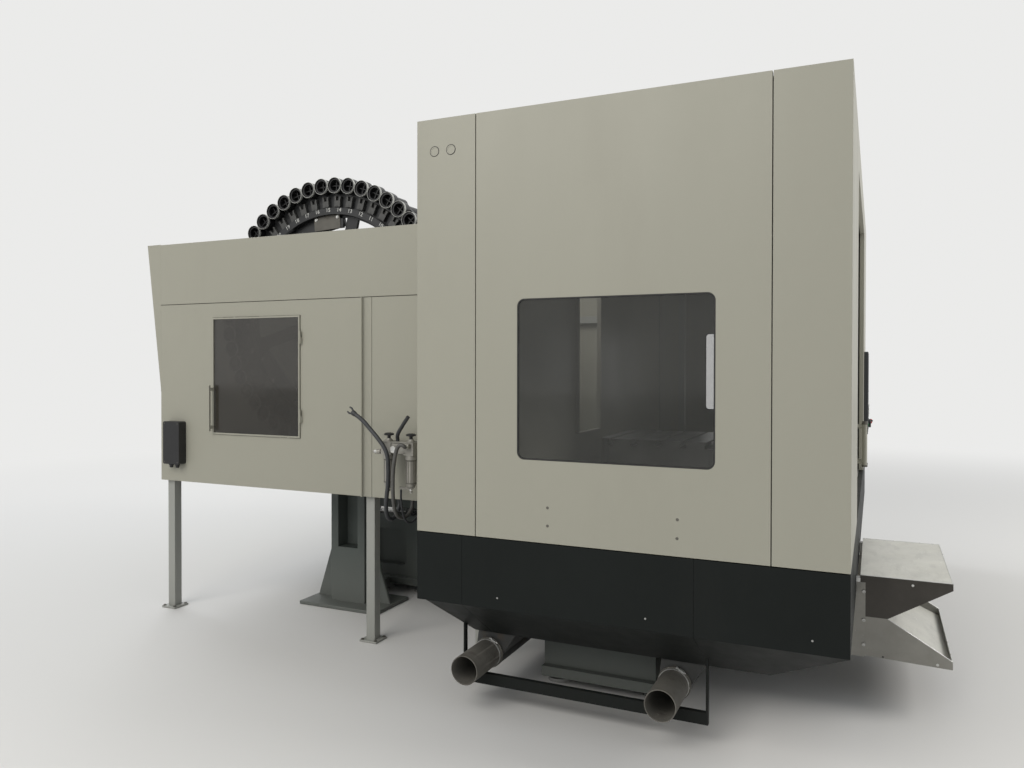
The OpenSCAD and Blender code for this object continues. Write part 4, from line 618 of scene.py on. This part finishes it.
def finishChute(s):
    chute = dressed["chip_chute"]
    bm = bmesh.new()
    bm.from_mesh(chute.data)
    # cut at the split height, so that the painted shade stays on the hood's side above the tray
    bmesh.ops.bisect_plane(bm, geom=bm.verts[:] + bm.edges[:] + bm.faces[:], dist=0.00001,
                           plane_co=(0, 0, s["split"] * mm), plane_no=upward)
    bm.to_mesh(chute.data)
    bm.free()
    # faces turned up take the painted highlight of the lit top; hood faces turned to -X above the split take
    # the painted shade of the dark side
    tintFaces(chute, "painted_lit_top_and_scuffs", lambda n, c: n.z > 0.6)
    tintFaces(chute, "painted_shade_side", lambda n, c: n.x < -0.7 and c.z > s["split"] * mm)
    left, right, front, top, hem = s["left"], s["right"], s["front"], s["top"], s["hem"]
    # bright strips along the hood's top edges and the slope's rims: painted highlight along the edges
    bm = bmesh.new()
    for x0, x1 in ((left - 1.2, left + hem), (right - hem, right + 1.2)):
        block(bm, (x0, front + 0.5, top - 2.5), (x1, s["back"], top + 1.2), edge=0.8)
    block(bm, (left, front, top - 2.5), (right, front + hem, top + 1.2), edge=0.8)
    (y0, z0), (y1, z1) = s["slope"]
    for x in (left + s["inset"], right - s["inset"]):
        rod(bm, (x, y0, z0), (x, y1, z1), s["rim"], steps=10)
    rod(bm, (left + s["inset"], y1 + 0.3, z1), (right - s["inset"], y1 + 0.3, z1), s["rim"], steps=10)
    makePiece(bm, "chuteEdgeHighlights", "machine", "chute_paint", finish="bright_metal_and_edge_highlight")
    bm = bmesh.new()
    for x in (left - s["flangeThick"], right):
        slab(bm, s["flange"], s["flangeThick"], looking((x, 0, 0), toBack), edge=0.8)
    makePiece(bm, "chuteFlanges", "machine", "chute_paint")
    bm = bmesh.new()
    lug = s["lug"]
    for x in (left, right - lug["wide"]):
        block(bm, (x - lug["proud"], lug["front"], top - lug["drop"][0]),
              (x + lug["wide"] + lug["proud"], lug["back"], top - lug["drop"][1]), edge=1.5)
    makePiece(bm, "chuteLugs", "machine", "chute_paint", finish="bright_metal_and_edge_highlight")
    setFasteners("chuteScrews", "machine", "button", pointing(toLeft, s["screws"]), finish="bright_metal_and_edge_highlight")
    setFasteners("chuteLowScrew", "machine", "pin", pointing(toLeft, s["darkScrews"]), finish="seal_rubber")
    setFasteners("chuteFlangeBolts", "machine", "socket",
                 pointing(toLeft, [(left - s["flangeThick"], y, z) for y, z in s["flangeBolts"]])
                 + pointing(toRight, [(right + s["flangeThick"], y, z) for y, z in s["flangeBolts"]]))


finishChute(chuteSettings)

plugSettings = {"face": -2185, "places": ((859, 2668), (772, 2668)), "radius": 24.8}


def plugRings(s):
    bm = bmesh.new()
    r = s["radius"]
    for y, z in s["places"]:
        lathe(bm, [(-0.4, r - 3.4), (0.5, r - 3.2), (1.1, r - 2.4), (1.1, r - 0.9), (0.6, r), (-0.4, r),
                   (-0.4, r - 3.4)], (s["face"], y, z), toLeft, steps=36)
    makePiece(bm, "plugRings", "machine", "seal_rubber")


plugRings(plugSettings)

tubeSettings = {
    "mouths": (-200, 745), "axis": 210, "radius": 70, "band": (-1856, -1843), "thick": 2.2, "lean": 28,
}


def tubeBands(s):
    # strip clamps with a screw housing, close to the root of each tube
    bm = bmesh.new()
    a, b = s["band"]
    r, t = s["radius"], s["thick"]
    middle, lift = (a + b) / 2, r + t + 5
    lean = Matrix.Rotation(math.radians(s["lean"]), 4, "X")
    for y in s["mouths"]:
        lathe(bm, [(0, r - 0.2), (0, r + t - 0.6), (0.6, r + t), (b - a - 0.6, r + t), (b - a, r + t - 0.6),
                   (b - a, r - 0.2), (0, r - 0.2)], (a, y, s["axis"]), toRight, steps=48)
        turn = Matrix.Translation(Vector((0, y, s["axis"])) * mm) @ lean
        box = bmesh.new()
        block(box, (a - 2, -13, r + t - 1), (b + 2, 13, r + t + 9), edge=1.6)
        rod(box, (middle, -22, lift), (middle, 22, lift), 3.6, steps=12, edge=0.6)
        rod(box, (middle, 18, lift), (middle, 27, lift), 6.5, steps=6, edge=0.8)
        stamp(bm, keepUnit(box), turn)
    makePiece(bm, "tubeBands", "machine", "steel", finish="bright_metal_and_edge_highlight")


tubeBands(tubeSettings)

airSettings = {
    "x": -1585, "cups": (1358.5, 1505.5), "top": 1225, "bottom": 961,
    "bowl": {"radius": 28, "rings": (-104, -232), "ribs": 12, "ribEnds": (-228, -100), "ribRadius": 1.5},
    "screws": {"across": 26, "down": (14, 58), "proud": 34},
    "gauge": (-1615, 1448, 1187), "sideSocket": (-1593, 1579, 1167), "frontSocket": (-1645, 1352, 1207),
    "knob": {"ribs": 20, "circle": 26.6, "rise": 39.6, "high": 7.5, "radius": 1.6, "cap": 51.2},
}


def ringSpots(count, radius, foot):
    # places round a vertical axis through foot
    turns = [k * math.tau / count for k in range(count)]
    return [Vector(foot) + Vector((math.cos(turn), math.sin(turn), 0)) * radius for turn in turns]


def dressAirUnit(s):
    x, (y0, y1), top = s["x"], s["cups"], s["top"]
    bowl, screws, knob = s["bowl"], s["screws"], s["knob"]
    bm = bmesh.new()
    # bridge between the two heads, with its top plate
    block(bm, (x - 30, y0 + 30, top - 64), (x + 30, y1 - 30, top - 4), edge=3)
    block(bm, (x - 38, y0 - 36, top - 0.5), (x + 38, y1 + 36, top + 3.5), edge=1.2)
    for y in (y0, y1):
        lathe(bm, [(3, 8), (3, 22), (4.5, 23.5), (9, 23.5), (10.5, 22), (10.5, 17), (19, 14.5), (19, 8)],
              (x, y, top), upward, steps=28)
        lathe(bm, [(-74, 28), (-74, 30.6), (-72.5, 31.4), (-68.5, 31.4), (-67, 30.6), (-67, 28)],
              (x, y, top), upward, steps=32)
        for side in (-1, 1):
            for drop in screws["down"]:
                place = (x - screws["proud"], y + side * screws["across"], top - drop)
                stamp(bm, fasteners["pin"], facing(place, toLeft))
    makePiece(bm, "airHeads", "machine", "cast_aluminium")
    bm = bmesh.new()
    for y in (y0, y1):
        # ribbed guard round each bowl, with a foot ring
        r = bowl["radius"]
        for lift in bowl["rings"]:
            lathe(bm, [(0, r), (0, r + 2.2), (1.5, r + 3), (6, r + 3), (7.5, r + 2.2), (7.5, r)],
                  (x, y, top + lift), upward, steps=32)
        for foot in ringSpots(bowl["ribs"], r + 0.2, (x, y, top)):
            low, high = [foot + Vector((0, 0, z)) for z in bowl["ribEnds"]]
            rod(bm, low, high, bowl["ribRadius"], steps=6)
    makePiece(bm, "bowlGuards", "machine", "cast_aluminium", finish="tube_paint")
    bm = bmesh.new()
    # pressure gauge on the front of the bridge, drain nipples and hose sockets
    lathe(bm, [(0, 0), (0, 7), (9, 7), (9, 18), (11, 20), (19, 20), (21, 18.5), (21, 17), (18.5, 16.5),
               (18.5, 0)], s["gauge"], toLeft, steps=30)
    for y in (y0, y1):
        lathe(bm, [(0, 0), (0, 8), (3, 9.6), (10, 9.6), (12, 8), (18, 6), (24, 5), (24, 0)],
              (x, y, s["bottom"] + 2), downward, steps=20)
    lathe(bm, [(0, 0), (0, 10.5), (1.5, 12), (12, 12), (14, 9.5), (19, 9), (19, 0)],
          s["sideSocket"], toBack, steps=24)
    lathe(bm, [(0, 8), (0, 13.5), (12, 13.5), (14, 12.2), (14, 8)], s["frontSocket"], toLeft, steps=6)
    makePiece(bm, "airFittings", "machine", "steel", finish="bright_metal_and_edge_highlight")
    for y, body in ((y0, "front_knob"), (y1, "rear_knob")):
        bm = bmesh.new()
        for foot in ringSpots(knob["ribs"], knob["circle"], (x, y, top + knob["rise"])):
            rod(bm, foot, foot + Vector((0, 0, knob["high"])), knob["radius"], steps=8, edge=0.4)
        lathe(bm, [(0, 0), (0, 13), (1.4, 12), (1.4, 0)], (x, y, top + knob["cap"]), upward, steps=24)
        makePiece(bm, body + "Ribs", body, "black_plastic")


dressAirUnit(airSettings)
print("chute, tubes and air unit finished")

potSettings = {
    "centre": (2290, 1990), "circle": 865, "count": 50, "face": -1129, "carrier": -1060,
    "collar": 52.5, "rim": 16.0, "cup": 47.9, "cross": {"near": 30, "far": 56, "half": 37, "thick": 3},
    "clip": {"low": 730, "high": 802, "half": 24, "deep": 26, "base": 42, "root": 36, "prong": 6.5,
             "across": 15, "lean": 0.14},
}


def aroundMagazine(bm, s):
    # the unit is drawn for the pot straight above the axle
    unit = keepUnit(bm)
    ring = bmesh.new()
    axle = Matrix.Translation(Vector((0, *s["centre"])) * mm)
    for k in range(s["count"]):
        stamp(ring, unit, axle @ Matrix.Rotation((k + 0.5) * math.tau / s["count"], 4, "X"))
    return ring


def buildPots(s):
    face, top, collar, rim, cup = s["face"], s["circle"], s["collar"], s["rim"], s["cup"]
    middle = (face, 0, top)
    deep = s["carrier"] - face
    bm = bmesh.new()
    lathe(bm, [(0.8, collar - 2.4), (0, collar - 1.6), (0, collar - 0.7), (0.7, collar), (rim, collar),
               (rim + 0.4, collar - 0.9), (8, collar - 2.4), (0.8, collar - 2.4)], middle, toRight)
    makePiece(aroundMagazine(bm, s), "potRims", "magazine", "collar_plastic", instead=["pot_collars"])
    bm = bmesh.new()
    lathe(bm, [(6, collar - 4.6), (1.0, collar - 4.6), (1.0, collar - 2.3), (rim, collar - 2.3),
               (rim, collar - 0.7), (deep - 3, collar - 0.7), (deep, collar - 3), (deep, 41)],
          middle, toRight)
    makePiece(aroundMagazine(bm, s), "potSleeves", "magazine", "black_plastic", instead=["pot_collars"])
    bm = bmesh.new()
    lathe(bm, [(8, cup), (8, 38), (9.5, 36.5), (54, 36.5), (55, 35.5), (55, 14), (57, 12), (100, 12),
               (100, 20), (198, 35), (200, 36), (200, 38.5), (198.5, 40), (deep, 40),
               (deep, cup), (8, cup)], middle, toRight, steps=24)
    cross, hub = s["cross"], Matrix.Translation((0, 0, top * mm))
    for turn in (0, math.pi / 2):
        block(bm, (face + cross["near"], -cross["half"], top - cross["thick"]),
              (face + cross["far"], cross["half"], top + cross["thick"]), edge=0.8, steps=1,
              turn=hub @ Matrix.Rotation(turn, 4, "X") @ hub.inverted())
    makePiece(aroundMagazine(bm, s), "potCups", "magazine", "black_plastic",
              instead=["tool_pots", "waiting_tool_pot"])
    # forked spring clip below each pot
    clip = s["clip"]
    low, high, half = clip["low"], clip["high"], clip["half"]
    front, back = s["carrier"] - clip["deep"], s["carrier"] - 0.5
    bm = bmesh.new()
    block(bm, (front, -half, low), (back, half, low + clip["base"]), edge=2.5)
    for side in (-1, 1):
        root = Matrix.Translation((0, side * clip["across"] * mm, (low + clip["root"]) * mm))
        block(bm, (front, -clip["prong"], 0), (back, clip["prong"], high - low - clip["root"]), edge=2.5,
              turn=root @ Matrix.Rotation(-side * clip["lean"], 4, "X"))
    block(bm, (s["carrier"] - 8, -10, low + 30), (back, 10, high - 4), edge=1)
    stamp(bm, fasteners["pin"], facing((front, 0, low + 8), toLeft))
    makePiece(aroundMagazine(bm, s), "potClips", "magazine", "magazine_paint",
              finish="clip_grey", instead=["pot_collars"])


buildPots(potSettings)
print("magazine pots built")

ringNumberSettings = {
    "front": -1104, "radius": 706, "high": 26, "first": 15, "at": 89.1, "raise": 0.4,
}


def onDisc(angle, x):
    # a frame on the disc's front, its Y axis pointing out from the axle
    angle = math.radians(angle)
    out = Vector((0, math.cos(angle), math.sin(angle)))
    right = Vector(toLeft).cross(-out)
    return out, right, Vector((x, *potSettings["centre"]))


def numberRing(s):
    bm = bmesh.new()
    count = potSettings["count"]
    for k in range(count):
        data = bpy.data.curves.new("digits", "FONT")
        data.body = str((s["first"] - 1 - k) % count + 1)
        data.size = s["high"] / 0.7 * mm
        data.extrude = s["raise"] / 2 * mm
        data.align_x = data.align_y = "CENTER"
        data.resolution_u = 2
        words = bpy.data.objects.new("digits", data)
        flat = bpy.data.meshes.new_from_object(words)
        out, right, spot = onDisc(s["at"] + k * 360 / count, s["front"] - s["raise"] / 2)
        stamp(bm, flat, looking(spot + out * s["radius"], right, out))
        bpy.data.objects.remove(words)
    makePiece(bm, "ringNumbers", "magazine", "collar_plastic", finish="white_plastic")


numberRing(ringNumberSettings)

plateSettings = {
    "angles": (86.5, 206.5, 326.5), "low": 583, "high": 677, "half": 106, "thick": 4, "back": -1076,
    "bolts": ((-87, 658), (87, 658)),
}


def cornerPlates(s):
    bm = bmesh.new()
    half, low, high, marks = s["half"], s["low"], s["high"], []
    for angle in s["angles"]:
        out, right, spot = onDisc(angle, s["back"])
        slab(bm, [(-half, low), (half, low), (half, high), (-half, high)], s["thick"],
             looking(spot, right, out), edge=1.2)
        for across, along in s["bolts"]:
            marks.append(spot + right * across + out * along - Vector((s["thick"], 0, 0)))
    makePiece(bm, "cornerPlates", "magazine", "tube_paint")
    setFasteners("cornerPlateBolts", "magazine", "bolt", pointing(toLeft, marks), finish="bright_metal_and_edge_highlight")


cornerPlates(plateSettings)
print("number ring and corner plates built")

frontSettings = {
    "leaves": ("left_leaf", "right_leaf"), "windows": (-555, 555), "middle": 1750, "size": (668, 1048),
    "face": -910, "corner": 26, "width": 22, "thick": 3.5,
    "screwReach": 348, "screwRows": (-500, -250, 0, 250, 500),
    "bars": (-60, 60), "barAxis": -972, "barRings": (1038, 1300), "footFace": -917, "feet": (1062, 1282),
}


def dressDoors(s):
    for x, body in zip(s["windows"], s["leaves"]):
        bm = bmesh.new()
        frameRing(bm, *s["size"], s["corner"], s["width"], s["thick"],
                  looking((x, s["face"], s["middle"]), toRight), edge=0.9)
        makePiece(bm, body + "Gasket", body, "seal_rubber")
        places = [(x + side * s["screwReach"], s["face"], s["middle"] + dz)
                  for side in (-1, 1) for dz in s["screwRows"]]
        setFasteners(body + "Screws", body, "pin", pointing(toFront, places), finish="dull_zinc")
    for x, body in zip(s["bars"], s["leaves"]):
        bm = bmesh.new()
        for z in s["barRings"]:
            lathe(bm, [(0, 14.2), (0, 16.5), (2, 17.5), (10, 17.5), (12, 16.5), (12, 14.2)],
                  (x, s["barAxis"], z), upward, steps=24)
        for z in s["feet"]:
            lathe(bm, [(0, 8), (0, 19), (3, 21), (7, 21), (7, 8)], (x, s["footFace"], z), toBack, steps=24)
        makePiece(bm, body + "Rings", body, "steel", finish="dull_zinc")


dressDoors(frontSettings)

panelSettings = {
    "face": -980, "screen": (1370, 1810, 1370, 1720), "pane": (190, 146),
    "keys": {"left": 1380, "low": 1260, "across": 54, "up": 32, "columns": 8, "rows": 3},
    "softKeys": {"count": 10, "pitch": 42, "wide": 32}, "buttonRow": 1200,
    "collars": ((1810, 30), (1380, 17)), "wheel": 1560, "wheelRibs": 40, "dials": (1660, 1706, 1752),
    "screwColumns": (1322, 1858), "screwRows": (1142, 1450, 1758),
}


def dressPanel(s):
    x0, x1, z0, z1 = s["screen"]
    face, row = s["face"], s["buttonRow"]
    middle = ((x0 + x1) / 2, (z0 + z1) / 2)
    bm = bmesh.new()
    frameRing(bm, x1 - x0 - 6, z1 - z0 - 6, 12, 24, 3.0,
              looking((middle[0], face + 5.8, middle[1]), toRight), edge=0.9)
    makePiece(bm, "screenBezel", "machine", "panel_paint", finish="black_plastic")
    bm = bmesh.new()
    w, h = s["pane"]
    slab(bm, [(-w, -h), (w, -h), (w, h), (-w, h)], 1.4,
         looking((middle[0], face + 5.9, middle[1]), toRight), edge=0.5)
    makePiece(bm, "screenPane", "machine", "panel_paint", finish="lit_screen")
    caps, marks = bmesh.new(), bmesh.new()
    keys = s["keys"]
    for up in range(keys["rows"]):
        for along in range(keys["columns"]):
            x, z = keys["left"] + along * keys["across"], keys["low"] + up * keys["up"]
            block(caps, (x + 1.5, face - 6, z + 1.5), (x + 38.5, face - 2.5, z + 18.5), edge=1.6)
            block(marks, (x + 30, face - 6.4, z + 12), (x + 35, face - 5.8, z + 15), edge=0.2, steps=1)
    for k in range(s["softKeys"]["count"]):
        x = x0 + 10 + k * s["softKeys"]["pitch"]
        block(caps, (x, face - 3.2, z0 - 20), (x + s["softKeys"]["wide"], face + 0.5, z0 - 4), edge=1.4)
    makePiece(caps, "keyCaps", "machine", "panel_paint", finish="white_plastic")
    makePiece(marks, "keyLamps", "machine", "red_plastic", finish="seal_rubber")
    bm = bmesh.new()
    for x, r in s["collars"]:
        lathe(bm, [(0, r - 12), (0, r), (1.5, r - 0.4), (3, r - 3), (3, r - 12)],
              (x, face, row), toFront, steps=32)
    lathe(bm, [(0, 9), (0, 44), (1.2, 45), (2.4, 44), (2.4, 36), (1.2, 35), (1.2, 9)],
          (s["wheel"], face, row), toFront, steps=48)
    for x in s["dials"]:
        lathe(bm, [(0, 0), (0, 12), (2, 12), (3, 9), (14, 8), (15, 6.5), (15, 0)],
              (x, face, row), toFront, steps=24)
    makePiece(bm, "panelKnobs", "machine", "panel_paint", finish="black_plastic")
    places = [(x, face, z) for x in s["screwColumns"] for z in s["screwRows"]]
    setFasteners("panelScrews", "machine", "button", pointing(toFront, places))
    bm = bmesh.new()
    for k in range(s["wheelRibs"]):
        turn = k * math.tau / s["wheelRibs"]
        foot = Vector((s["wheel"] + 32.4 * math.cos(turn), face - 14, row + 32.4 * math.sin(turn)))
        rod(bm, foot, foot + Vector((0, 7, 0)), 1.3, steps=6)
    makePiece(bm, "wheelRibs", "hand_wheel", "black_plastic")


dressPanel(panelSettings)

cabinetSettings = {
    "door": (1921.3, 1301, 2499), "top": 2050,
    # foot of each group of louvres, its offset from the door's face, thickness, and drop
    "louvres": ((1719, -0.4, 2.4, 0), (301, 1.6, 2.2, 1)), "count": 10, "pitch": 22, "half": 150,
    "latches": (391, 1220, 1849), "screws": (191, 791, 1391, 2009),
    "roofBolts": ((1540, 1370), (1838, 1370), (1540, 2430), (1838, 2430)),
}


def dressCabinet(s):
    x, y0, y1 = s["door"]
    half, top = s["half"], s["top"]
    bm = bmesh.new()
    # hooded louvres at the head and foot of the door
    for low, proud, thick, drop in s["louvres"]:
        for k in range(s["count"]):
            slab(bm, [(-half, -drop), (half, -drop), (half - 4, 9 - drop), (4 - half, 9 - drop)], thick,
                 looking((x + proud, y0 + 349, low + k * s["pitch"]), toBack), edge=0.9)
    makePiece(bm, "doorLouvres", "cabinet_leaf", "wall_paint")
    bm = bmesh.new()
    for z in s["latches"]:
        block(bm, (x - 0.5, y1 - 66, z - 38), (x + 3.5, y1 - 26, z + 38), edge=2.4)
        rod(bm, (x + 3, y1 - 46, z), (x + 9, y1 - 46, z), 11, steps=24, edge=1.2)
        block(bm, (x + 8.4, y1 - 50, z - 9), (x + 9.8, y1 - 42, z + 9), edge=0.4, steps=1)
    makePiece(bm, "doorLatches", "cabinet_leaf", "steel", finish="dull_zinc")
    places = [(x, y0 + 20, z) for z in s["screws"]]
    setFasteners("cabinetDoorScrews", "cabinet_leaf", "pin", pointing(toRight, places), finish="dull_zinc")
    bm = bmesh.new()
    for place in s["roofBolts"]:
        rod(bm, (*place, top), (*place, top + 4), 17, steps=24, edge=0.8)
        rod(bm, (*place, top + 4), (*place, top + 12), 11, steps=6, edge=1)
    makePiece(bm, "cabinetRoofBolts", "machine", "steel", finish="dull_zinc")


dressCabinet(cabinetSettings)

frameSettings = {
    "posts": [(side * 1419, y) for side in (-1, 1) for y in (990, 1727, 3358)], "plate": 12, "reach": 46,
    "feet": [(x, y) for x in (-1500, -750, 0, 750, 1500) for y in (-30, 490)]
            + [(x, y) for x in (-390, 390) for y in (1250, 2000, 2690)],
}


def dressFeet(s):
    places = [(x + i * s["reach"], y + j * s["reach"], s["plate"])
              for x, y in s["posts"] for i in (-1, 1) for j in (-1, 1)]
    setFasteners("postBolts", "machine", "bolt", pointing(upward, places), finish="dull_zinc")
    bm = bmesh.new()
    for x, y in s["feet"]:
        lathe(bm, [(18, 18), (18, 34), (20, 36), (24, 36), (26, 34), (26, 18)], (x, y, 0), upward, steps=28)
    makePiece(bm, "footWashers", "machine", "steel", finish="dull_zinc")


dressFeet(frameSettings)

insideSettings = {
    "nose": (1190, 1990, 101, 8), "saddle": [(x, y, 820) for x in (-410, 410) for y in (-40, 520)],
    "railTop": 600, "capPitch": 120, "tableRails": (20, 460), "tableCaps": 26, "columnRails": (-380, 380),
    "columnCaps": 14, "boxFace": (-1541, 3190, 3335, 997, 1283), "boxMiddle": -1510,
}


def dressInside(s):
    y, z, r, count = s["nose"]
    turns = [(k + 0.5) * math.tau / count for k in range(count)]
    places = [(r * math.cos(turn), y, z + r * math.sin(turn)) for turn in turns]
    setFasteners("noseBolts", "head", "socket", pointing(toFront, places))
    setFasteners("saddleBolts", "saddle", "socket", pointing(upward, s["saddle"]))
    bm = bmesh.new()
    caps = [(-1500 + k * s["capPitch"], y) for k in range(s["tableCaps"]) for y in s["tableRails"]]
    caps += [(x, 1060 + k * s["capPitch"]) for k in range(s["columnCaps"]) for x in s["columnRails"]]
    for place in caps:
        rod(bm, (*place, s["railTop"] - 0.6), (*place, s["railTop"] + 0.25), 8, steps=18)
    makePiece(bm, "railCaps", "machine", "steel", finish="dull_zinc")
    x, y0, y1, z0, z1 = s["boxFace"]
    places = [(x, y, z) for y in (y0 + 14, y1 - 14) for z in (z0 + 14, z1 - 14)]
    setFasteners("boxScrews", "machine", "pin", pointing(toLeft, places), finish="dull_zinc")
    bm = bmesh.new()
    for y in (y0 + 45, y1 - 45):
        lathe(bm, [(-0.5, 0), (-0.5, 15), (4, 16), (10, 16), (12, 13), (22, 12), (26, 9), (26, 0)],
              (s["boxMiddle"], y, z0), downward, steps=20)
    makePiece(bm, "boxGlands", "machine", "black_plastic")


dressInside(insideSettings)
print("doors, panel, cabinet and frame finished")

studioSettings = {
    "floorSize": 80,
    "floorColour": (0.66, 0.65, 0.63),
    "floorFade": (4.6, 13.0),
    "background": (0.83, 0.83, 0.82),
    "fill": (0.94, 0.97, 1.0),
    "fillStrength": 0.62,
    "lamps": [
        # name, place, aims at, size, watts, colour
        ("leftSoftbox", (-9.5, 3.2, 7.2), (-1.6, 1.6, 1.4), 6.5, 500, (1.0, 0.97, 0.92)),
        ("frontSoftbox", (1.5, -9.0, 7.5), (0.2, -0.9, 1.0), 5.0, 600, (1.0, 0.98, 0.95)),
        ("backSoftbox", (3.0, 9.0, 8.0), (0.0, 2.0, 1.0), 6.0, 420, (0.93, 0.96, 1.0)),
    ],
}


def mixedShader(tree, share, first, second):
    made = node(tree, "ShaderNodeMixShader")
    for socket, value in zip(made.inputs, (share, first, second)):
        feed(tree, socket, value)
    return made.outputs["Shader"]


def floorFinish(s):
    # the far floor runs into the background colour, for the camera alone
    made, tree, shader = blankFinish("studioFloor")
    shader.inputs["Base Color"].default_value = [*s["floorColour"], 1]
    shader.inputs["Roughness"].default_value = 0.75
    shader.inputs["Specular IOR Level"].default_value = 0.2
    where = node(tree, "ShaderNodeTexCoord").outputs["Object"]
    span = node(tree, "ShaderNodeVectorMath", operation="LENGTH", Vector=where).outputs["Value"]
    fade = node(tree, "ShaderNodeMapRange", clamp=True, interpolation_type="SMOOTHSTEP", Value=span,
                From_Min=s["floorFade"][0], From_Max=s["floorFade"][1]).outputs["Result"]
    path = node(tree, "ShaderNodeLightPath").outputs
    share = calculated(tree, "MULTIPLY", fade, path["Is Camera Ray"])
    far = node(tree, "ShaderNodeEmission", Color=[*s["background"], 1], Strength=1.0)
    surface = mixedShader(tree, share, shader.outputs["BSDF"], far.outputs["Emission"])
    tree.links.new(surface, tree.nodes["Material Output"].inputs["Surface"])
    return made


def layFloor(s):
    bm = bmesh.new()
    bmesh.ops.create_grid(bm, x_segments=1, y_segments=1, size=s["floorSize"] / 2)
    mesh = bpy.data.meshes.new("studioFloor")
    bm.to_mesh(mesh)
    bm.free()
    mesh.materials.append(floorFinish(s))
    floor = bpy.data.objects.new("studioFloor", mesh)
    scene.collection.objects.link(floor)


def lightStudio(s):
    world = bpy.data.worlds.new("studioWorld")
    scene.world = world
    world.use_nodes = True
    tree = world.node_tree
    tree.nodes.clear()
    seen = node(tree, "ShaderNodeBackground", Color=[*s["background"], 1], Strength=1.0)
    cast = node(tree, "ShaderNodeBackground", Color=[*s["fill"], 1], Strength=s["fillStrength"])
    path = node(tree, "ShaderNodeLightPath").outputs
    straight = calculated(tree, "ADD", path["Is Camera Ray"], path["Is Glossy Ray"], use_clamp=True)
    anySight = calculated(tree, "ADD", straight, path["Is Transmission Ray"], use_clamp=True)
    surface = mixedShader(tree, anySight, cast.outputs["Background"], seen.outputs["Background"])
    node(tree, "ShaderNodeOutputWorld", Surface=surface)
    for name, place, aim, size, watts, colour in s["lamps"]:
        data = bpy.data.lights.new(name, "AREA")
        data.size = size
        data.energy = watts
        data.color = colour
        lamp = bpy.data.objects.new(name, data)
        ahead = (Vector(aim) - Vector(place)).normalized()
        lamp.matrix_world = Matrix.Translation(place) @ ahead.to_track_quat("-Z", "Y").to_matrix().to_4x4()
        scene.collection.objects.link(lamp)


layFloor(studioSettings)
lightStudio(studioSettings)
scene.view_settings.view_transform = "Standard"
print("studio lit")
